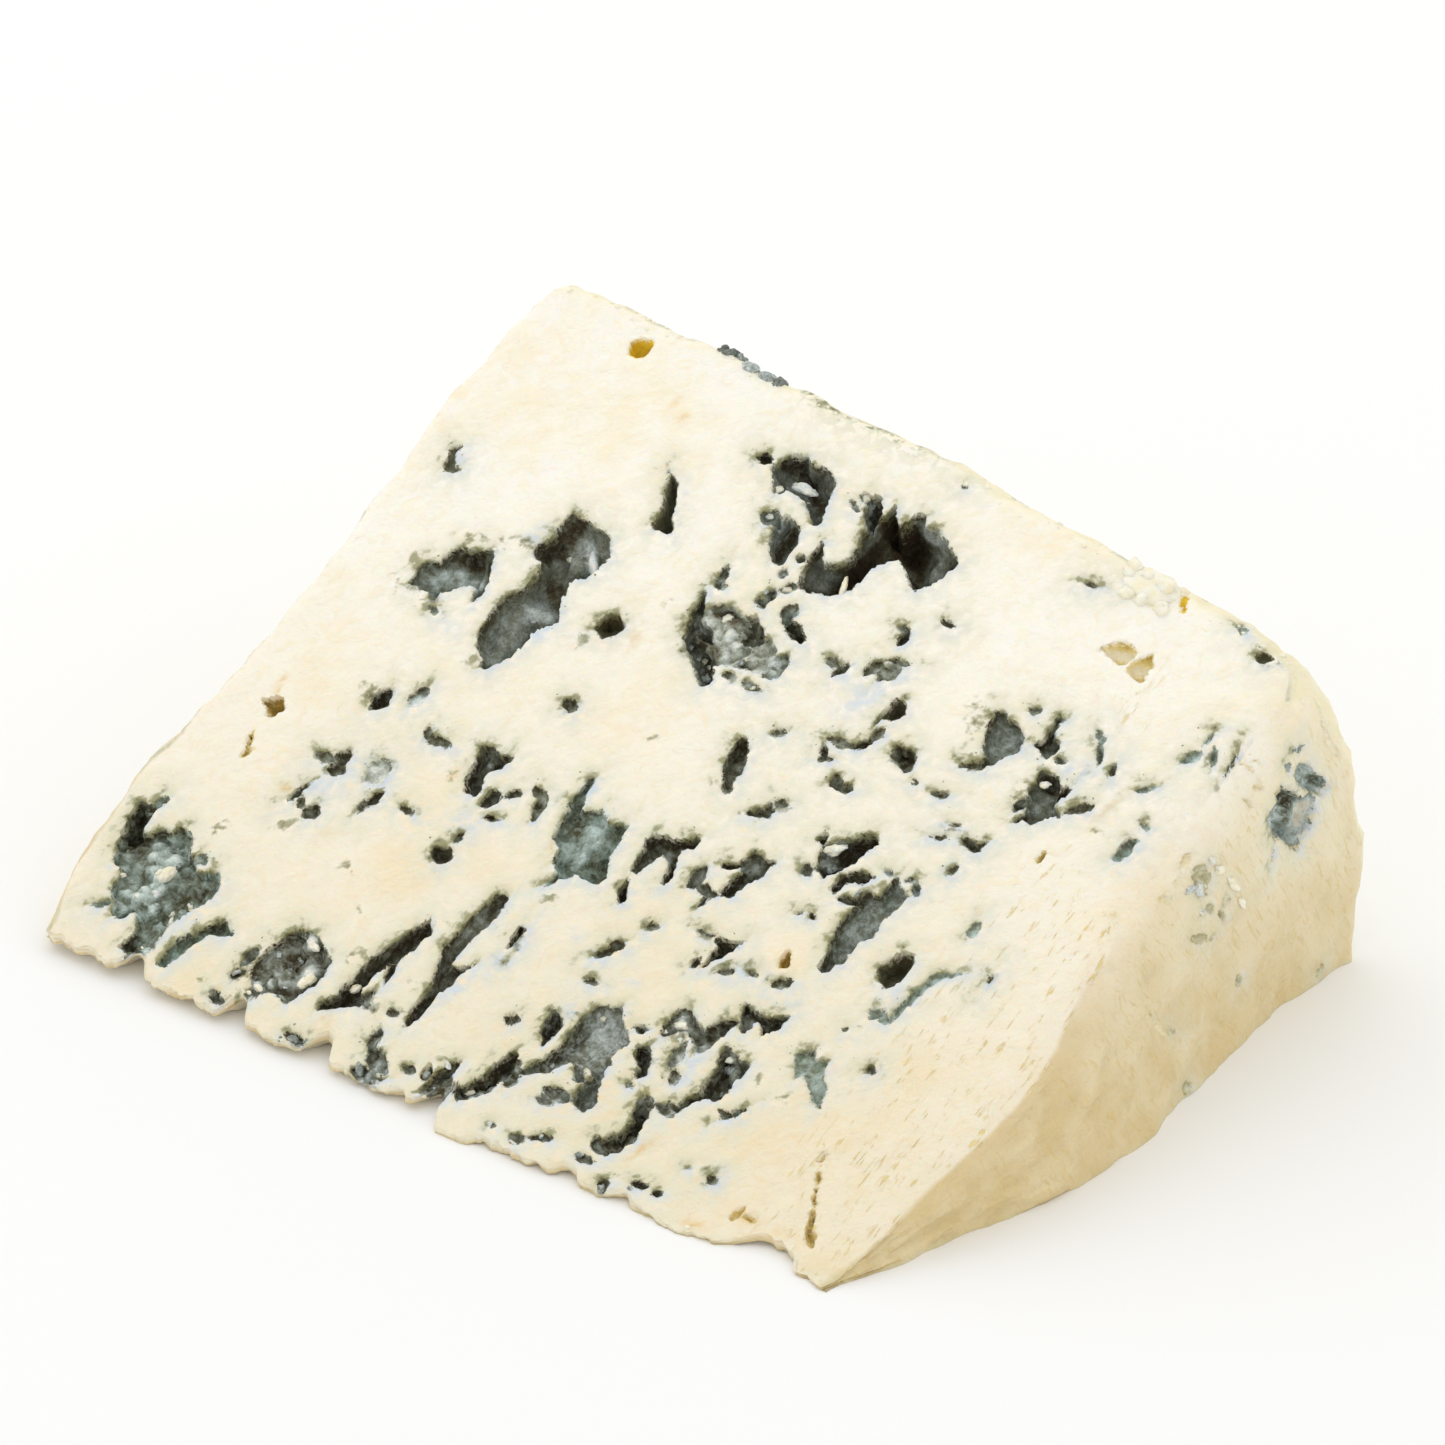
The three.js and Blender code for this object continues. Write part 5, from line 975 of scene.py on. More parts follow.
def lineOpenings(bm):  # the lining's relief, and the tone of each place of it
    bm.normal_update()
    co = coordsOf(bm)
    normals = np.array([v.normal for v in bm.verts])
    hole, deep, lumpy, tone = (layerOf(bm, name) for name in ("hole", "deep", "lumpy", "tone"))
    u, v, onEnd = layerOf(bm, "faceU"), layerOf(bm, "faceV"), layerOf(bm, "onEnd")
    inside = smooth(0.02, -0.4, hole)
    push = np.zeros(len(co))
    ids = np.nonzero(hole < 0.5)[0]
    x, y, z = co[ids].T
    strays, wide = paste["lumpWander"]
    wx = x + strays * ripple(x, y, z, wide, 2)
    wy = y + strays * ripple(x, y + 9, z, wide, 2)
    lumpKinds = zip(paste["lumpShares"], paste["lumpSizes"])
    lumps = sum(share * lumpsAt(wx, wy, z, size) for share, size in lumpKinds) - 0.5
    high = mix(*paste["lumpHigh"], lumpy[ids]) * np.clip(0.35 + deep[ids] / 1.5, 0, 1)
    grainHigh, grainWide = paste["wallGrain"]
    push[ids] = inside[ids] * (high * lumps + grainHigh * ripple(x, y, z, grainWide, 2))
    for side, groups, slant, _ in cutFaces:
        these = ids[(onEnd[ids] > 0.5) == (side == near)]
        tone[these] = toneField(u[these] + slant[0] * deep[these], v[these] + slant[1] * deep[these],
                                groups, tone[these])
    tone[ids] += paste["lit"] * np.clip(deep[ids], 0, 5) * smooth(0.08, 0.3, tone[ids])
    # painted light on the lumps' tops and painted shade in their creases
    tone[ids] += mix(*paste["lumpLightShade"], lumpy[ids]) * lumps
    darker, *at = paste["rimShade"]
    tone[ids] -= darker * layerOf(bm, "upperLeft")[ids] * bell(hole[ids], *at)
    # a powdery bloom with painted light on the lower right walls, which face the light
    paler, *at = paste["rimBloomAndLight"]
    tone[ids] += paler * layerOf(bm, "lowerRight")[ids] * bell(hole[ids], *at)
    x, y, z = co.T
    face = sum(high * ripple(x, y, z, wide, 2) for high, wide in paste["faceRough"])
    ends = sum(high * ripple(x, y, z + 40, wide, 2) for high, wide in paste["endRough"])
    push += (1 - inside) * mix(face, ends, onEnd)
    push *= smooth(0.0, paste["flatFrom"], z)
    setCoords(bm, co + normals * push[:, None])
    setLayer(bm, "tone", np.clip(tone, -0.3, 1.4))


def makeCheese(material):
    bm = bmesh.new()
    bmesh.ops.create_cube(bm, size=1.0)
    bmesh.ops.translate(bm, vec=(0, 0.5, 0.5), verts=bm.verts)
    bmesh.ops.scale(bm, vec=(2, 1, 1), verts=bm.verts)
    for axis, count in enumerate(paste["cells"]):
        edges = [e for e in bm.edges if abs((e.verts[0].co - e.verts[1].co)[axis]) > 1e-4]
        bmesh.ops.subdivide_edges(bm, edges=edges, cuts=count - 1, use_grid_fill=True)
    refine(bm)
    cutOpenings(bm)
    splitWalls(bm)
    lineOpenings(bm)
    co = coordsOf(bm) - np.array([*wheel["middle"], 0])
    low, high = (np.array(corner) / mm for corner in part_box("cheese_wedge"))
    setCoords(bm, np.clip(co, low, high) * mm)
    flat = [f for f in bm.faces if all(v.co.z < 1e-6 for v in f.verts)]
    bmesh.ops.dissolve_faces(bm, faces=flat)
    bmesh.ops.triangulate(bm, faces=[f for f in bm.faces if len(f.verts) > 4])
    bmesh.ops.recalc_face_normals(bm, faces=bm.faces)
    for face in bm.faces:
        face.smooth = True
    tree = BVHTree.FromBMesh(bm)
    print("cheese triangles:", sum(len(f.verts) - 2 for f in bm.faces))
    for name in makingNames:
        bm.verts.layers.float.remove(bm.verts.layers.float[name])
    obj = newObject("cheese", bm, material)
    obj.data.set_sharp_from_angle(angle=math.radians(paste["sharpAngle"]))
    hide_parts("cheese_wedge")
    return tree


maths, ramp, mixer, bump = "ShaderNodeMath", "ShaderNodeMapRange", "ShaderNodeMix", "ShaderNodeBump"


def makeMaterial(name, look, attributes, nodes):
    # A row of nodes is its name, kind and settings, and for each socket an earlier row or one of the colours.
    material = bpy.data.materials.new(name)
    material.use_nodes = True
    tree = material.node_tree
    tree.nodes.clear()
    coords = addNode(tree, "ShaderNodeTexCoord").outputs["Object"]
    made = {}
    for size, (wide, distortion) in look["sizes"].items():
        settings = {"Scale": 1 / (wide * mm), "Detail": 4.0, "Distortion": distortion}
        made[size] = addNode(tree, "ShaderNodeTexNoise", settings, {"Vector": coords}).outputs["Fac"]
    for streak, (wide, long, aboutX, aboutZ, distortion) in look.get("streaks", {}).items():
        settings = {"vector_type": "TEXTURE", "Rotation": (math.radians(aboutX), 0, math.radians(aboutZ)),
                    "Scale": (wide * mm, long * mm, wide * mm)}
        slanted = addNode(tree, "ShaderNodeMapping", settings, {"Vector": coords}).outputs[0]
        settings = {"Scale": 1.0, "Detail": 3.0, "Distortion": distortion}
        made[streak] = addNode(tree, "ShaderNodeTexNoise", settings, {"Vector": slanted}).outputs["Fac"]
    for attribute in attributes:
        made[attribute] = addNode(tree, "ShaderNodeAttribute", {"attribute_name": attribute}).outputs["Fac"]
    for row, kind, settings, links in nodes:
        colours = {socket: srgb(look[source]) for socket, source in links.items() if source not in made}
        sources = {socket: made[source] for socket, source in links.items() if source in made}
        node = addNode(tree, kind, {**settings, **colours}, sources)
        made[row] = node.outputs[2] if kind == mixer else node.outputs[0] if node.outputs else None
    return material


# Blue cheese paste: a moist fat curd, so it is soft, slightly glossy and lets light in.
# Its openings are lined with blue mould, a matt velvet of spores.
# A spore is a few thousandths of a millimetre, so the size fine is as coarse as the velvet needs to show.
pasteLook = {
    "cream": "#fdf6e6", "butter": "#fbebca", "whey": "#fffaf0", "endCream": "#eee2c0", "endTan": "#d8c18c",
    "rindCream": "#f6ecc8", "rimMould": "#7d8a62", "greenTinge": "#e5e3ca", "warmTint": "#f1ecdd",
    "dustBlue": "#ced9e7", "hazeOlive": "#a9ab82", "blue": "#cdd9e6", "yellow": "#e2b545", "shade": "#c9ad6c",
    "slitShade": "#ecd58e", "scratchShade": "#dabf7a", "olive": "#868450", "oliveBlack": "#4e4c32",
    "bareLow": "#b59a52", "bareMid": "#dcc678", "bareHigh": "#f0dea0", "bareTop": "#faf3dc",
    "amberTint": "#ffee6a", "soot": "#3b2d18", "slateDark": "#555039", "slate": "#808374",
    # the darkest lining colour is painted shade of the deep pockets over dark mould
    "slateLit": "#adb4ad", "bloom": "#dfe6e4", "tealTint": "#e9f9f3", "ochreTint": "#ffe6a4",
    "sizes": {  # of the noise in mm, and how distorted it is
        "patch": (16.0, 0.0), "smear": (5.0, 0.4), "worm": (2.4, 1.6), "curd": (1.5, 0.3),
        "grain": (0.7, 0.2), "fine": (0.28, 0.0)},
    "streaks": {  # marks of the knife and the wire: width, length, turns about X and Z, distortion
        "scratch": (0.45, 3.4, -60.0, 0.0, 0.7), "smearLine": (0.5, 2.4, 18.0, -50.0, 0.8),
        "slitLine": (0.42, 3.8, 27.5, 0.0, 0.35)},
}
rgb = {"data_type": "RGBA"}
tint = {"data_type": "RGBA", "blend_type": "MULTIPLY"}
pasteNodes = (
    # where the openings, the stains and the patches of colour are
    ("grainSway", maths, {"operation": "MULTIPLY_ADD", 1: 0.7, 2: -0.35}, {0: "grain"}),
    ("fineSway", maths, {"operation": "MULTIPLY_ADD", 1: 0.5, 2: -0.25}, {0: "fine"}),
    ("tornOnce", maths, {"operation": "ADD"}, {0: "hole", 1: "grainSway"}),
    ("torn", maths, {"operation": "ADD"}, {0: "tornOnce", 1: "fineSway"}),
    ("borderWide", maths, {"operation": "MULTIPLY_ADD", 1: 0.14, 2: 0.1}, {0: "upperLeft"}),
    ("borderGap", maths, {"operation": "SUBTRACT", 0: 0.1}, {1: "torn"}),
    ("inside", maths, {"operation": "DIVIDE", "use_clamp": True}, {0: "borderGap", 1: "borderWide"}),
    ("mouldy", maths, {"operation": "MULTIPLY"}, {0: "inside", 1: "mould"}),
    ("bareWall", maths, {"operation": "MULTIPLY"}, {0: "inside", 1: "ochre"}),
    ("butterPatch", ramp, {"From Min": 0.48, "From Max": 0.7, "To Max": 0.8}, {"Value": "patch"}),
    ("wheyPatch", ramp, {"From Min": 0.45, "From Max": 0.7, "To Max": 0.7}, {"Value": "smear"}),
    ("wormPatch", ramp, {"From Min": 0.52, "From Max": 0.66, "To Max": 0.45}, {"Value": "worm"}),
    ("smearMark", ramp, {"From Min": 0.5, "From Max": 0.66, "To Max": 0.4}, {"Value": "smearLine"}),
    ("smearPart", maths, {"operation": "MULTIPLY"}, {0: "topFace", 1: "smearMark"}),
    ("slitThin", ramp, {"From Min": 0.6, "From Max": 0.68}, {"Value": "slitLine"}),
    ("slitGate", ramp, {"From Min": 0.42, "From Max": 0.56}, {"Value": "worm"}),
    ("slitMark", maths, {"operation": "MULTIPLY"}, {0: "slitThin", 1: "slitGate"}),
    ("slitPart", maths, {"operation": "MULTIPLY"}, {0: "slits", 1: "slitMark"}),
    ("endSmear", ramp, {"From Min": 0.42, "From Max": 0.68, "To Max": 0.45}, {"Value": "smear"}),
    ("endVary", maths, {"operation": "MULTIPLY"}, {0: "endFace", 1: "endSmear"}),
    ("endShadePart", maths, {"operation": "MULTIPLY", 1: 0.85}, {0: "endFace"}),
    ("endLowShadePart", maths, {"operation": "MULTIPLY", 1: 0.9}, {0: "low"}),
    ("scratchMark", ramp, {"From Min": 0.56, "From Max": 0.68, "To Max": 0.6}, {"Value": "scratch"}),
    ("scratchPart", maths, {"operation": "MULTIPLY"}, {0: "endFace", 1: "scratchMark"}),
    ("rindPatch", ramp, {"From Min": 0.2, "From Max": 0.5}, {"Value": "smear"}),
    ("rindPart", maths, {"operation": "MULTIPLY"}, {0: "rind", 1: "rindPatch"}),
    ("greenSpot", ramp, {"From Min": 0.44, "From Max": 0.56, "To Max": 0.8}, {"Value": "curd"}),
    ("rimPart", maths, {"operation": "MULTIPLY"}, {0: "rimGreen", 1: "greenSpot"}),
    ("soft", ramp, {"From Min": 0.3, "From Max": 0.6}, {"Value": "curd"}),
    ("rimEdge", maths, {"operation": "MULTIPLY"}, {0: "rimLine", 1: "greenSpot"}),
    ("nearHole", ramp, {"From Min": 4.4, "From Max": 0.4, "To Max": 0.8}, {"Value": "hole"}),
    ("nearMould", maths, {"operation": "MULTIPLY"}, {0: "nearHole", 1: "mould"}),
    ("greenPart", maths, {"operation": "MULTIPLY"}, {0: "nearMould", 1: "soft"}),
    ("dustPart", maths, {"operation": "MULTIPLY"}, {0: "dust", 1: "soft"}),
    ("hazePart", maths, {"operation": "MULTIPLY", 1: 0.8}, {0: "haze"}),
    ("bluePart", maths, {"operation": "MULTIPLY"}, {0: "blueStain", 1: "soft"}),
    ("yellowPart", maths, {"operation": "MULTIPLY"}, {0: "yellowStain", 1: "soft"}),
    # painted shade down the broken edge, darkest at its foot over the floor
    ("shadePart", ramp, {"From Min": 0.4, "From Max": 1.0, "To Max": 0.8}, {"Value": "underEdge"}),
    ("speckGate", ramp, {"From Min": 0.08, "From Max": 0.4}, {"Value": "specks"}),
    ("speckMix", maths, {"operation": "MULTIPLY_ADD", 1: 0.5}, {0: "grain", 2: "curd"}),
    ("speckPull", maths, {"operation": "MULTIPLY_ADD", 1: 0.3}, {0: "specks", 2: "speckMix"}),
    ("speckSpot", ramp, {"From Min": 0.86, "From Max": 1.0, "To Max": 0.75}, {"Value": "speckPull"}),
    ("blackSpot", ramp, {"From Min": 1.06, "From Max": 1.16, "To Max": 0.8}, {"Value": "speckPull"}),
    ("oliveSpeck", maths, {"operation": "MULTIPLY"}, {0: "speckGate", 1: "speckSpot"}),
    ("blackSpeck", maths, {"operation": "MULTIPLY"}, {0: "speckGate", 1: "blackSpot"}),
    # how dark the lining is: its mould, with painted shade in the pockets and painted light on the lit walls
    ("toneCurd", maths, {"operation": "MULTIPLY_ADD", 1: 0.4, 2: -0.2}, {0: "curd"}),
    ("toneGrain", maths, {"operation": "MULTIPLY_ADD", 1: 0.45, 2: -0.225}, {0: "grain"}),
    ("toneFine", maths, {"operation": "MULTIPLY_ADD", 1: 0.6, 2: -0.3}, {0: "fine"}),
    ("toneOne", maths, {"operation": "ADD"}, {0: "tone", 1: "toneCurd"}),
    ("toneTwo", maths, {"operation": "ADD"}, {0: "toneOne", 1: "toneGrain"}),
    ("toneAll", maths, {"operation": "ADD"}, {0: "toneTwo", 1: "toneFine"}),
    ("toSlateDark", ramp, {"From Min": -0.12, "From Max": 0.12}, {"Value": "toneAll"}),
    ("toSlate", ramp, {"From Min": 0.13, "From Max": 0.42}, {"Value": "toneAll"}),
    ("toSlateLit", ramp, {"From Min": 0.45, "From Max": 0.7}, {"Value": "toneAll"}),
    ("toBloom", ramp, {"From Min": 0.72, "From Max": 1.0}, {"Value": "toneAll"}),
    ("toCream", ramp, {"From Min": 1.02, "From Max": 1.25}, {"Value": "toneAll"}),
    ("toBareMid", ramp, {"From Min": 0.1, "From Max": 0.4}, {"Value": "toneAll"}),
    ("toBareHigh", ramp, {"From Min": 0.4, "From Max": 0.65}, {"Value": "toneAll"}),
    ("toBareTop", ramp, {"From Min": 0.7, "From Max": 1.0}, {"Value": "toneAll"}),
    ("bloomPatch", ramp, {"From Min": 0.5, "From Max": 0.62}, {"Value": "grain"}),
    ("bloomPart", maths, {"operation": "MULTIPLY"}, {0: "pale", 1: "bloomPatch"}),
    # the paste's own colours, each laid over the last
    ("paste1", mixer, rgb, {0: "butterPatch", 6: "cream", 7: "butter"}),
    ("paste2", mixer, rgb, {0: "wheyPatch", 6: "paste1", 7: "whey"}),
    ("paste3", mixer, rgb, {0: "wormPatch", 6: "paste2", 7: "butter"}),
    ("paste4", mixer, rgb, {0: "smearPart", 6: "paste3", 7: "whey"}),
    ("paste5", mixer, tint, {0: "warm", 6: "paste4", 7: "warmTint"}),
    # painted shade of the ends, darker and tanner towards the bottom
    ("end1", mixer, rgb, {0: "endShadePart", 6: "paste5", 7: "endCream"}),
    ("end2", mixer, rgb, {0: "endLowShadePart", 6: "end1", 7: "endTan"}),
    ("end3", mixer, rgb, {0: "endVary", 6: "end2", 7: "endCream"}),
    ("end4", mixer, rgb, {0: "scratchPart", 6: "end3", 7: "scratchShade"}),
    ("rim1", mixer, rgb, {0: "rindPart", 6: "end4", 7: "rindCream"}),
    ("rim2", mixer, rgb, {0: "rimPart", 6: "rim1", 7: "greenTinge"}),
    ("rim3", mixer, rgb, {0: "rimEdge", 6: "rim2", 7: "rimMould"}),
    ("slitted", mixer, rgb, {0: "slitPart", 6: "rim3", 7: "slitShade"}),
    ("round1", mixer, rgb, {0: "greenPart", 6: "slitted", 7: "greenTinge"}),
    ("round2", mixer, rgb, {0: "dustPart", 6: "round1", 7: "dustBlue"}),
    ("round3", mixer, rgb, {0: "bluePart", 6: "round2", 7: "blue"}),
    ("round4", mixer, rgb, {0: "yellowPart", 6: "round3", 7: "yellow"}),
    ("round5", mixer, rgb, {0: "shadePart", 6: "round4", 7: "shade"}),
    ("round6", mixer, rgb, {0: "hazePart", 6: "round5", 7: "hazeOlive"}),
    ("round7", mixer, rgb, {0: "oliveSpeck", 6: "round6", 7: "olive"}),
    ("round8", mixer, rgb, {0: "blackSpeck", 6: "round7", 7: "oliveBlack"}),
    # the lining's and the bare walls' colours, from the painted shade of the darkest pocket through the
    # painted light on the lit walls to the palest bloom
    ("lining1", mixer, rgb, {0: "toSlateDark", 6: "soot", 7: "slateDark"}),
    ("lining2", mixer, rgb, {0: "toSlate", 6: "lining1", 7: "slate"}),
    ("lining3", mixer, rgb, {0: "toSlateLit", 6: "lining2", 7: "slateLit"}),
    ("lining4", mixer, rgb, {0: "toBloom", 6: "lining3", 7: "bloom"}),
    ("lining5", mixer, rgb, {0: "bloomPart", 6: "lining4", 7: "bloom"}),
    ("lining6", mixer, tint, {0: "teal", 6: "lining5", 7: "tealTint"}),
    ("lining7", mixer, tint, {0: "ochre", 6: "lining6", 7: "ochreTint"}),
    ("lining8", mixer, rgb, {0: "toCream", 6: "lining7", 7: "cream"}),
    ("bare1", mixer, rgb, {0: "toBareMid", 6: "bareLow", 7: "bareMid"}),
    ("bare2", mixer, rgb, {0: "toBareHigh", 6: "bare1", 7: "bareHigh"}),
    ("bare3", mixer, rgb, {0: "toBareTop", 6: "bare2", 7: "bareTop"}),
    ("bare4", mixer, tint, {0: "teal", 6: "bare3", 7: "amberTint"}),
    ("withBare", mixer, rgb, {0: "bareWall", 6: "round8", 7: "bare4"}),
    ("colour", mixer, rgb, {0: "mouldy", 6: "withBare", 7: "lining8"}),
    # relief and gloss
    ("wormBump", bump, {"Distance": 0.4 * mm, "Strength": 0.6}, {"Height": "worm"}),
    ("smearBump", bump, {"Distance": 0.2 * mm, "Strength": 0.5},
        {"Height": "smearLine", "Normal": "wormBump"}),
    ("slitBump", bump, {"Distance": 0.1 * mm, "invert": True},
        {"Height": "slitMark", "Strength": "slits", "Normal": "smearBump"}),
    ("curdBump", bump, {"Distance": 0.3 * mm, "Strength": 0.5}, {"Height": "curd", "Normal": "slitBump"}),
    ("grainBump", bump, {"Distance": 0.2 * mm, "Strength": 0.5}, {"Height": "grain", "Normal": "curdBump"}),
    ("scratchBump", bump, {"Distance": 0.3 * mm},
        {"Height": "scratch", "Strength": "scratchPart", "Normal": "grainBump"}),
    ("velvetBump", bump, {"Distance": 0.14 * mm},
        {"Height": "fine", "Strength": "mouldy", "Normal": "scratchBump"}),
    ("smearRough", ramp, {"From Min": 0.3, "From Max": 0.7, "To Min": 0.38, "To Max": 0.55},
        {"Value": "smear"}),
    ("roughness", maths, {"operation": "MULTIPLY_ADD", 1: 0.4}, {0: "mouldy", 2: "smearRough"}),
    ("lightKept", maths, {"operation": "MULTIPLY_ADD", 1: -0.28, 2: 0.32}, {0: "bareWall"}),
    ("lightLost", maths, {"operation": "MULTIPLY", 1: 0.3}, {0: "mouldy"}),
    ("lightIn", maths, {"operation": "SUBTRACT", "use_clamp": True}, {0: "lightKept", 1: "lightLost"}),
    ("shader", "ShaderNodeBsdfPrincipled", {
        "subsurface_method": "RANDOM_WALK", "Subsurface Radius": (1.0, 0.6, 0.3),
        "Subsurface Scale": 1.2 * mm, "IOR": 1.45},
        {"Base Color": "colour", "Roughness": "roughness", "Normal": "velvetBump",
         "Subsurface Weight": "lightIn"}),
    ("out", "ShaderNodeOutputMaterial", {}, {"Surface": "shader"}),
)
pasteAttributes = (
    "hole", "mould", "teal", "ochre", "pale", "tone", "dust", "haze", "specks", "blueStain", "yellowStain",
    "rind", "rimGreen", "rimLine", "endFace", "low", "underEdge", "warm", "slits", "topFace", "upperLeft")

cheeseTree = makeCheese(makeMaterial("cheesePaste", pasteLook, pasteAttributes, pasteNodes))
print("cheese made")


# Curds that lie in the openings, on the broken edge, on the rim and on the end.
curds = {
    "seed": 11,
    "noiseTo": 50,  # lumps are cut from the same noise, each this far along it at most
    "uneven": (0.5, 0.3, 0.14),  # of a lump's size: its swellings, its creases and its grain
    "waves": (1.1, 1.6, 4),  # how many of them go round a lump
    "crease": (0.22, 0.25),  # how wide the creases are, and how much paler
    "bare": -0.5,  # the tone of a curd with no mould on it
    "sunk": {"byHand": 0.8, "scattered": 0.2, "rim": 0.35},  # of its size
    "scattered": {  # how many lie in each kind of opening
        "caveBloom": 5, "broodCluster": 16, "cornerBasin": 14, "ovalBasin": 6, "ringBasins": 12,
        "edgePockets": 10, "curdStrips": 4, "tornPair": 3, "greyLeaf": 4, "twinLobes": 3},
    "size": (0.3, 0.85),
    "width": (0.5, 0.9),  # of its length
    "height": (0.35, 0.6),
    "tones": (0.2, 0.5, 0.7, 0.85),  # how mouldy they are
    "edgeCount": 28,
    "edgeSize": (0.2, 0.55),
    "edgeShape": (1.0, 0.7, 0.6),
    "edgeRange": (-55, 50),
    "edgeTones": (0, 0, 0.05, 0.2),
    "edgeHigh": (0.2, 0.85),  # between the lower and the upper face
    "byHand": (  # X, Y, half length, half width, turn, top below the face, mould
        (-11.0, 75.3, 2.1, 0.66, -3, 0.9, 0.5), (-9.2, 72.9, 2.1, 0.52, -36, 0.4, 0.3),
        (1.3, 67.3, 1.5, 0.42, 115, 0.5, 0.1), (-38.8, 49.9, 1.1, 0.32, 15, 0.3, 0.15),
        (-25.6, 9.0, 0.9, 0.5, -20, 0.5, 0.0), (-23.5, 5.4, 1.2, 0.7, 75, 0.3, 0.0),
        (-28.0, 2.6, 0.7, 0.4, -20, 0.4, 0.1), (-17.6, 6.7, 0.7, 0.5, 60, 1.0, 0.0),
        (-47.8, 9.4, 1.3, 0.8, 70, 0.3, 0.05), (37.7, 57.1, 0.7, 0.45, 30, 0.4, 0.25),
        (21.4, 41.3, 1.3, 0.75, 40, 0.3, 0.3), (19.8, 17.5, 0.9, 0.5, 10, 0.4, 0.2),
        (26.7, 37.8, 1.0, 0.5, 30, 0.3, 0.35), (-12.4, 70.9, 0.6, 0.4, 0, 0.6, 0.4),
    ),
    "edgeByHand": (  # X, size, mould
        (-21.4, 0.6, 0.85), (-19.6, 0.7, 0.9), (-18.2, 0.5, 0.9), (-9.9, 0.8, 0.8), (-8.2, 0.9, 0.9),
        (-6.8, 0.6, 0.7), (12.6, 0.8, 0.5), (25.3, 0.7, 0.9), (28.4, 0.6, 0.85), (4.2, 0.9, 0.3)),
    "rimLumps": (  # X, distance in from the rim, half length, half width, half height, mould, unevenness
        (-31.2, 0.8, 0.8, 0.9, 0.8, 1.1, 1.0), (-30.2, 0.8, 0.9, 0.9, 0.8, 1.05, 1.0),
        (-28.9, 0.8, 0.8, 0.9, 0.8, 0.95, 0.8), (-26.8, 0.8, 1.3, 0.9, 0.8, 0.75, 0.4),
        (-24.2, 0.8, 1.5, 0.9, 0.8, 0.8, 0.35), (-22.4, 0.8, 0.8, 0.9, 0.8, 1.0, 0.8),
        (33.0, 1.8, 3.8, 2.4, 1.3, -0.5, 0.5), (30.0, 1.3, 1.6, 1.3, 1.2, -0.5, 0.9),
        (32.2, 1.1, 1.7, 1.3, 1.6, -0.5, 0.8), (34.6, 1.3, 1.8, 1.4, 1.5, -0.5, 0.8),
        (33.4, 3.2, 1.6, 1.2, 1.2, -0.5, 0.8), (35.8, 3.2, 1.2, 1.0, 1.0, -0.5, 0.8),
        (31.0, 3.6, 1.1, 1.0, 0.8, -0.5, 0.8)),
    "rimCount": 80,
    "rimSize": (0.18, 0.5),
    "rimShape": (1.0, 0.8, 0.7),
    "rimRange": (-54, 56),
    "rimInset": (0.6, 2.2),
    "flakeHigh": 0.4,
    "endFlakes": (  # Y, Z, half length, half width, turn, mould
        (66.5, 19.5, 1.4, 0.6, -50, 0.1), (64.0, 22.2, 1.2, 0.6, -40, 0.15), (60.2, 21.6, 1.1, 0.6, -60, 0.5),
        (62.3, 24.3, 1.0, 0.5, -30, 0.3), (58.4, 22.4, 0.8, 0.5, 0, 0.6), (67.8, 16.8, 0.9, 0.4, -60, 0.1),
        (61.0, 18.4, 1.0, 0.4, -50, 0.35)),
}


def valueAt(surface, *place):  # the surface functions take arrays
    return float(surface(*(np.array([value]) for value in place))[0])


def faceFrame(x, y):  # a place on the upper face: its point, and the way out of the face
    return Vector((x, y, valueAt(upperFace, x, y))), Vector((0, -valueAt(cutSlope, x), 1)).normalized()


def addLump(bm, place, outward, sizes, turn, tone, seed, detail=2, rough=1.0):
    made = bmesh.ops.create_icosphere(bm, subdivisions=detail, radius=1.0)["verts"]
    toFace = outward.to_track_quat("Z", "Y").to_matrix().to_4x4()
    spin = Matrix.Rotation(turn, 4, "Z") @ Matrix.Diagonal((*sizes, 1.0))
    toneLayer = bm.verts.layers.float["tone"]
    swellings, creases, grain = (rough * value for value in curds["uneven"])
    swellingWaves, creaseWaves, grainWaves = curds["waves"]
    creaseWide, creasePale = curds["crease"]
    for v in made:
        spot = v.co * swellingWaves + Vector((seed, -seed, 2 * seed))
        crease = max(0.0, 1 - abs(noise.noise(spot * creaseWaves)) / creaseWide)
        v.co *= 1 + swellings * noise.noise(spot) - creases * crease + grain * noise.noise(spot * grainWaves)
        v.co = toFace @ (spin @ v.co) + place
        v[toneLayer] = tone - creasePale * crease


def finishLumps(name, bm, material):  # from the wheel's millimetres to the part's metres, kept inside its box
    low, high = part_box("cheese_wedge")
    for v in bm.verts:
        co = (v.co - Vector((*wheel["middle"], 0))) * mm
        v.co = [min(max(value, a), b) for value, a, b in zip(co, low, high)]
    for face in bm.faces:
        face.smooth = True
    print(name, "triangles:", len(bm.faces))
    newObject(name, bm, material)


def areaOf(shape):  # about what a row or an outline covers
    if isOutline(shape):
        return 0.6 * float(np.prod(np.ptp(np.array(shape), axis=0)))
    return math.pi * shape[2] * shape[3]


def shapesOf(group):
    shapes = list(group.get("rows", [])) + [shape for _, _, shape in group.get("outlines", [])]
    return shapes, [areaOf(shape) for shape in shapes]


def spotInside(shape, draw, margin=0.3):  # a place at least the margin inside a row or an outline
    low, high = boxRound(shape)
    for _ in range(40):
        x, y = draw.uniform(low[0], high[0]), draw.uniform(low[1], high[1])
        if shapeDistance(np.array([x]), np.array([y]), shape)[0][0] < -margin:
            break
    return x, y


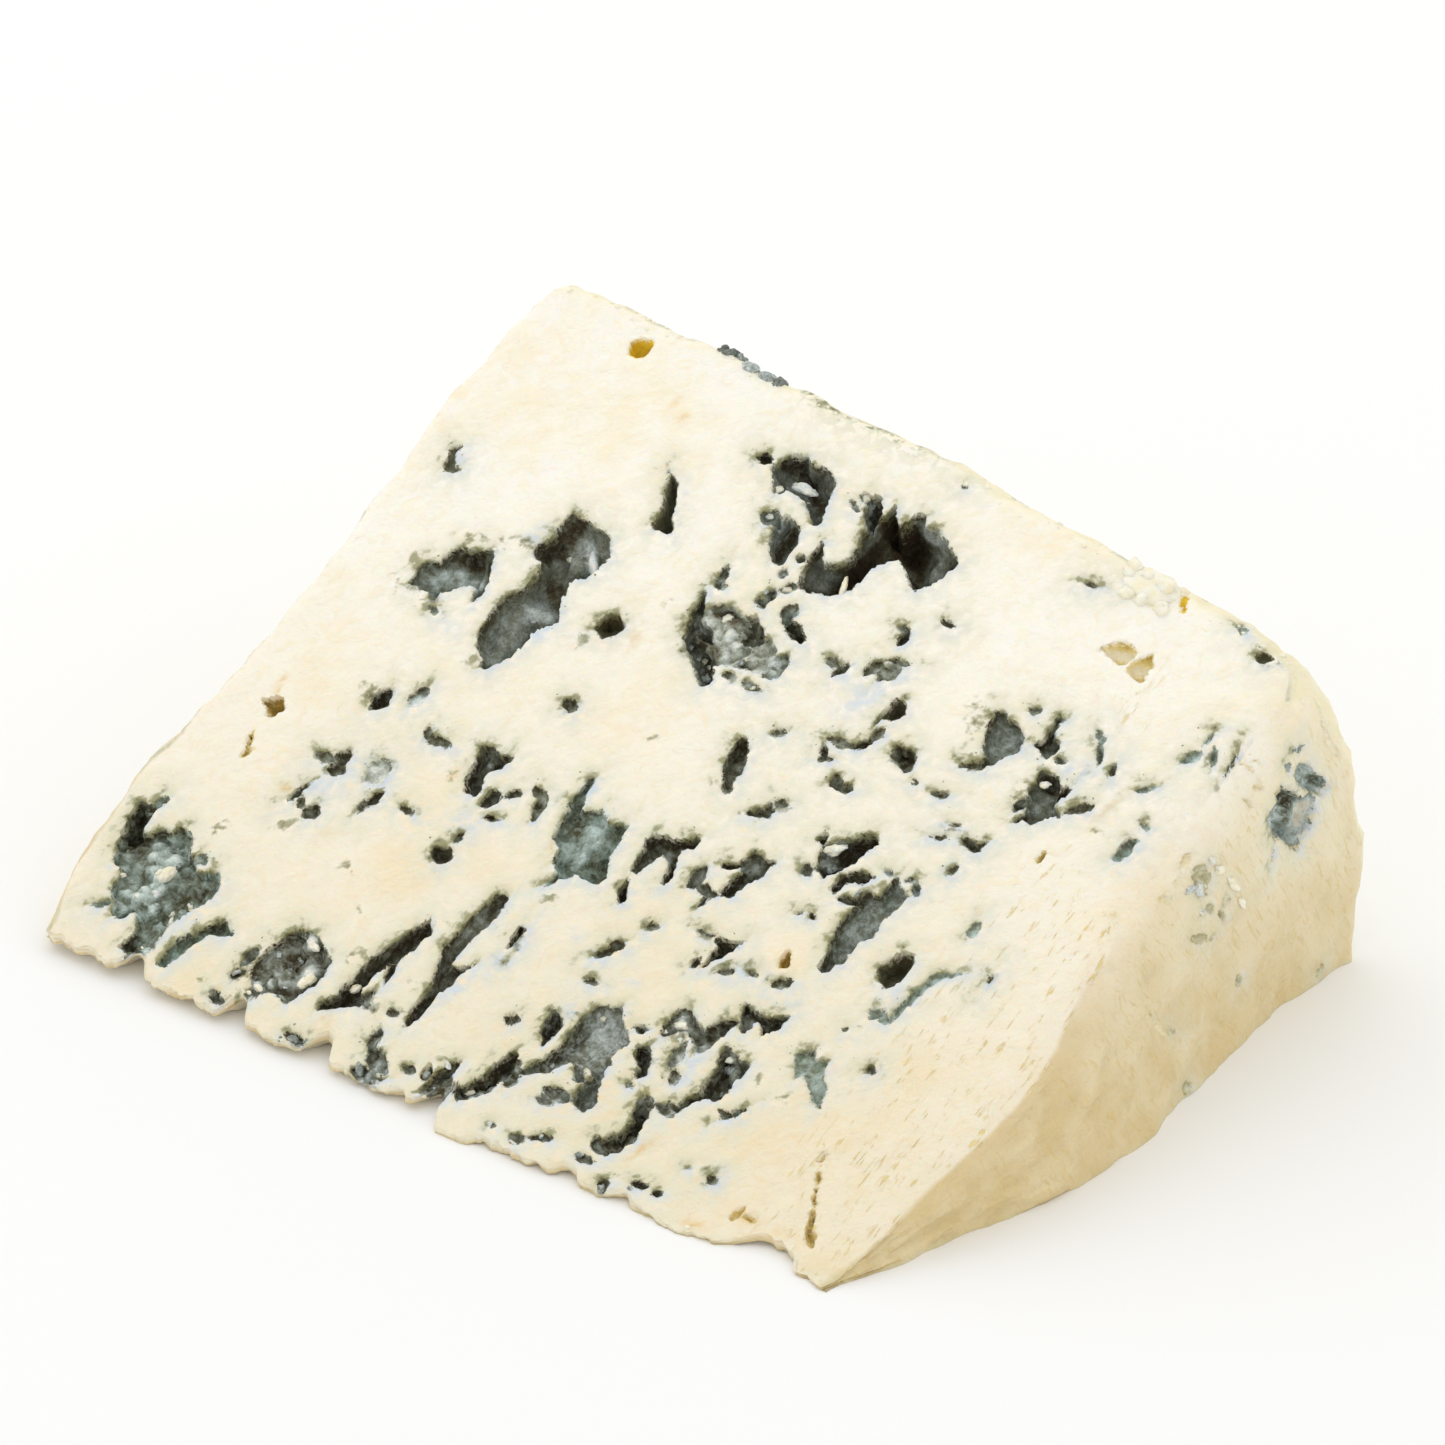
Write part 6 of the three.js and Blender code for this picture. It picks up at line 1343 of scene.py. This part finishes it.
def hitCheese(place, direction):  # where a ray from outside meets the cheese, in the wheel's millimetres
    middle = Vector((*wheel["middle"], 0))
    spot, normal, _, _ = cheeseTree.ray_cast((place - middle) * mm, direction.normalized())
    return (None, None) if spot is None else (spot / mm + middle, normal)


def makeCurds(material):
    draw = random.Random(curds["seed"])
    bm = bmesh.new()
    bm.verts.layers.float.new("tone")
    for x, y, halfLong, halfWide, turn, sunk, tone in curds["byHand"]:
        place, outward = faceFrame(x - topSlant[0] * sunk, y - topSlant[1] * sunk)
        high = 0.7 * halfWide
        addLump(bm, place - outward * (sunk + curds["sunk"]["byHand"] * high), outward,
                (halfLong, halfWide, high), math.radians(turn), tone, draw.uniform(0, curds["noiseTo"]), 3)
    for name, count in curds["scattered"].items():
        shapes, areas = shapesOf(openings[name])
        for _ in range(count):
            x, y = spotInside(draw.choices(shapes, areas)[0], draw)
            place, outward = faceFrame(x, y)
            spot, _ = hitCheese(place + outward * 3, -outward + Vector((-0.2, 0.1, 0)))
            if spot is None:
                continue
            size = mix(*curds["size"], draw.random() ** 1.5)
            sizes = (size, size * draw.uniform(*curds["width"]), size * draw.uniform(*curds["height"]))
            addLump(bm, spot - outward * curds["sunk"]["scattered"] * size, outward, sizes,
                    draw.uniform(0, math.tau), draw.choice(curds["tones"]),
                    draw.uniform(0, curds["noiseTo"]), 3)
    edgeSpots = [(draw.uniform(*curds["edgeRange"]), mix(*curds["edgeSize"], draw.random() ** 1.5),
                  draw.choice(curds["edgeTones"])) for _ in range(curds["edgeCount"])]
    for x, size, tone in edgeSpots + list(curds["edgeByHand"]):
        y = valueAt(edgeLine, x) + draw.uniform(0.25, 0.6) + 0.3 * size
        place, _ = faceFrame(x, y)
        place.z = mix(valueAt(lowerFace, x, y), place.z, draw.uniform(*curds["edgeHigh"]))
        addLump(bm, place, Vector((0, -1, 0.3)), [size * share for share in curds["edgeShape"]],
                draw.uniform(0, math.tau), tone, draw.uniform(0, curds["noiseTo"]))
    crumbs = []
    for _ in range(curds["rimCount"]):
        size = mix(*curds["rimSize"], draw.random() ** 2)
        crumbs.append((draw.uniform(*curds["rimRange"]), draw.uniform(*curds["rimInset"]),
                       *(size * share for share in curds["rimShape"]), curds["bare"], 0.8))
    for x, inset, halfLong, halfWide, high, tone, rough in list(curds["rimLumps"]) + crumbs:
        place, outward = faceFrame(x, valueAt(rimLine, x, x / wheel["half"], 1.0) - inset)
        spot, _ = hitCheese(place + outward * 4, -outward)
        if spot is not None:
            addLump(bm, spot - outward * curds["sunk"]["rim"] * high, outward, (halfLong, halfWide, high),
                    draw.uniform(-0.3, 0.3), tone, draw.uniform(0, curds["noiseTo"]),
                    3 if high > 0.6 else 2, rough)
    for y, z, halfLong, halfWide, turn, tone in curds["endFlakes"]:
        spot, normal = hitCheese(Vector((90, y, z)), Vector((-1, 0, 0)))
        if spot is not None:
            addLump(bm, spot, normal, (halfLong, halfWide, curds["flakeHigh"]), math.radians(turn), tone,
                    draw.uniform(0, curds["noiseTo"]), 3)
    finishLumps("curds", bm, material)


# Loose curd: the same fat paste in small lumps, dusted with spores where it lies in an opening.
curdLook = {
    "cream": "#fbf6e4", "butter": "#f6eac6", "dust": "#ccd5d5", "slate": "#818981", "slateDark": "#46463a",
    "sizes": {"curd": (1.2, 0.2), "grain": (0.5, 0.2), "fine": (0.25, 0.0)},
}
curdNodes = (
    ("butterPatch", ramp, {"From Min": 0.4, "From Max": 0.7}, {"Value": "curd"}),
    ("grainSway", maths, {"operation": "MULTIPLY_ADD", 1: 0.6, 2: -0.3}, {0: "grain"}),
    ("fineSway", maths, {"operation": "MULTIPLY_ADD", 1: 0.4, 2: -0.2}, {0: "fine"}),
    ("toneOne", maths, {"operation": "ADD"}, {0: "tone", 1: "grainSway"}),
    ("toneAll", maths, {"operation": "ADD"}, {0: "toneOne", 1: "fineSway"}),
    ("dustPart", ramp, {"From Min": 0.2, "From Max": 0.45, "To Max": 0.9}, {"Value": "toneAll"}),
    ("slatePart", ramp, {"From Min": 0.5, "From Max": 0.85}, {"Value": "toneAll"}),
    ("darkPart", ramp, {"From Min": 0.9, "From Max": 1.15, "To Max": 0.9}, {"Value": "toneAll"}),
    ("curd1", mixer, rgb, {0: "butterPatch", 6: "cream", 7: "butter"}),
    ("curd2", mixer, rgb, {0: "dustPart", 6: "curd1", 7: "dust"}),
    ("curd3", mixer, rgb, {0: "slatePart", 6: "curd2", 7: "slate"}),
    ("colour", mixer, rgb, {0: "darkPart", 6: "curd3", 7: "slateDark"}),
    ("grainBump", bump, {"Distance": 0.15 * mm, "Strength": 0.6}, {"Height": "grain"}),
    ("shader", "ShaderNodeBsdfPrincipled", {
        "subsurface_method": "RANDOM_WALK", "Subsurface Weight": 0.2, "Subsurface Radius": (1.0, 0.6, 0.3),
        "Subsurface Scale": 0.6 * mm, "IOR": 1.45, "Roughness": 0.65},
        {"Base Color": "colour", "Normal": "grainBump"}),
    ("out", "ShaderNodeOutputMaterial", {}, {"Surface": "shader"}),
)

makeCurds(makeMaterial("looseCurd", curdLook, ("tone",), curdNodes))
print("curds made")


# Grains of mould: small flat tufts along the borders of the openings and on their walls.
grains = {
    "seed": 23,
    "count": 420,
    "size": (0.07, 0.19),
    "shape": (1.0, 0.8, 0.45),
    "stray": 0.45,  # mm to either side of the border
    "lean": (-0.5, 0.3, 0.1),  # how far a ray leans in under the upper left side at most
}


def borderSpot(shape, draw):  # a place near the border of a row's ellipse or an outline
    if isOutline(shape):
        i = draw.randrange(len(shape))
        share = draw.random()
        x, y = (mix(a, b, share) for a, b in zip(shape[i], shape[(i + 1) % len(shape)]))
    else:
        angle, turn = draw.uniform(0, math.tau), math.radians(shape[4])
        a, b = shape[2] * math.cos(angle), shape[3] * math.sin(angle)
        x = shape[0] + a * math.cos(turn) - b * math.sin(turn)
        y = shape[1] + a * math.sin(turn) + b * math.cos(turn)
    return x + draw.gauss(0, grains["stray"]), y + draw.gauss(0, grains["stray"])


def makeGrains(material):
    draw = random.Random(grains["seed"])
    bm = bmesh.new()
    bm.verts.layers.float.new("tone")
    shapes, areas = [], []
    for group in openings.values():
        if group["look"][0] > 0.5:
            found = shapesOf(group)
            shapes += found[0]
            areas += [math.sqrt(area) for area in found[1]]
    for shape in draw.choices(shapes, areas, k=grains["count"]):
        place, outward = faceFrame(*borderSpot(shape, draw))
        spot, normal = hitCheese(place + outward * 3, -outward + Vector(grains["lean"]) * draw.random())
        if spot is None:
            continue
        size = mix(*grains["size"], draw.random() ** 2)
        addLump(bm, spot, normal, [size * share for share in grains["shape"]], draw.uniform(0, math.tau),
                draw.random(), draw.uniform(0, curds["noiseTo"]), 1)
    finishLumps("mouldGrains", bm, material)


# Mould tufts: clumps of dry spores, matt, from olive to a pale grey bloom.
grainLook = {
    "olive": "#8b8b62", "slate": "#9aa39a", "pale": "#cdd5d0",
    "sizes": {"fine": (0.2, 0.0)},
}
grainNodes = (
    ("slatePart", ramp, {"From Min": 0.25, "From Max": 0.6}, {"Value": "tone"}),
    ("palePull", maths, {"operation": "MULTIPLY_ADD", 1: 0.3}, {0: "fine", 2: "tone"}),
    ("palePart", ramp, {"From Min": 0.8, "From Max": 1.0}, {"Value": "palePull"}),
    ("tuft", mixer, rgb, {0: "slatePart", 6: "olive", 7: "slate"}),
    ("colour", mixer, rgb, {0: "palePart", 6: "tuft", 7: "pale"}),
    ("shader", "ShaderNodeBsdfPrincipled", {"Roughness": 0.95}, {"Base Color": "colour"}),
    ("out", "ShaderNodeOutputMaterial", {}, {"Surface": "shader"}),
)

makeGrains(makeMaterial("mouldTufts", grainLook, ("tone",), grainNodes))
print("mould grains made")


# Floor, light and camera.
studio = {
    "camera": (0.575912, -0.688251, 0.509184),
    "target": (0.009780, -0.012840, 0.036622),
    "lens": 232.28,
    "sensor": 36.0,
    "near": 0.01,
    "floorHalf": 3.0,
    "world": 0.97,
    "keyPlace": (-1.0, 0.5, 1.1),
    "keyTarget": (0, 0, 0.02),
    "keySize": 1.9,
    "keyPower": 4.4,
}


def plainMaterial(name, hexColour, roughness):
    material = bpy.data.materials.new(name)
    material.use_nodes = True
    shader = material.node_tree.nodes["Principled BSDF"]
    shader.inputs["Base Color"].default_value = srgb(hexColour)
    shader.inputs["Roughness"].default_value = roughness
    return material


floorMesh = bmesh.new()
bmesh.ops.create_grid(floorMesh, x_segments=2, y_segments=2, size=studio["floorHalf"])
floorData = bpy.data.meshes.new("floor")
floorMesh.to_mesh(floorData)
floorMesh.free()
floorData.materials.append(plainMaterial("paleFloor", "#f7f7f5", 0.8))
floor = bpy.data.objects.new("floor", floorData)
bpy.context.scene.collection.objects.link(floor)

world = bpy.data.worlds.new("studio")
bpy.context.scene.world = world
world.use_nodes = True
world.node_tree.nodes["Background"].inputs["Color"].default_value = (1, 1, 1, 1)
world.node_tree.nodes["Background"].inputs["Strength"].default_value = studio["world"]

keyData = bpy.data.lights.new("keyLight", "AREA")
keyData.shape = "DISK"
keyData.size = studio["keySize"]
keyData.energy = studio["keyPower"]
key = bpy.data.objects.new("keyLight", keyData)
key.location = studio["keyPlace"]
key.rotation_euler = (Vector(studio["keyTarget"]) - key.location).to_track_quat("-Z", "Y").to_euler()
bpy.context.scene.collection.objects.link(key)

cameraData = bpy.data.cameras.new("camera")
cameraData.sensor_width = studio["sensor"]
cameraData.lens = studio["lens"]
cameraData.clip_start = studio["near"]
camera = bpy.data.objects.new("camera", cameraData)
camera.location = studio["camera"]
camera.rotation_euler = (Vector(studio["target"]) - camera.location).to_track_quat("-Z", "Y").to_euler()
bpy.context.scene.collection.objects.link(camera)
bpy.context.scene.camera = camera
bpy.context.scene.view_settings.view_transform = "Standard"
print("stage set")
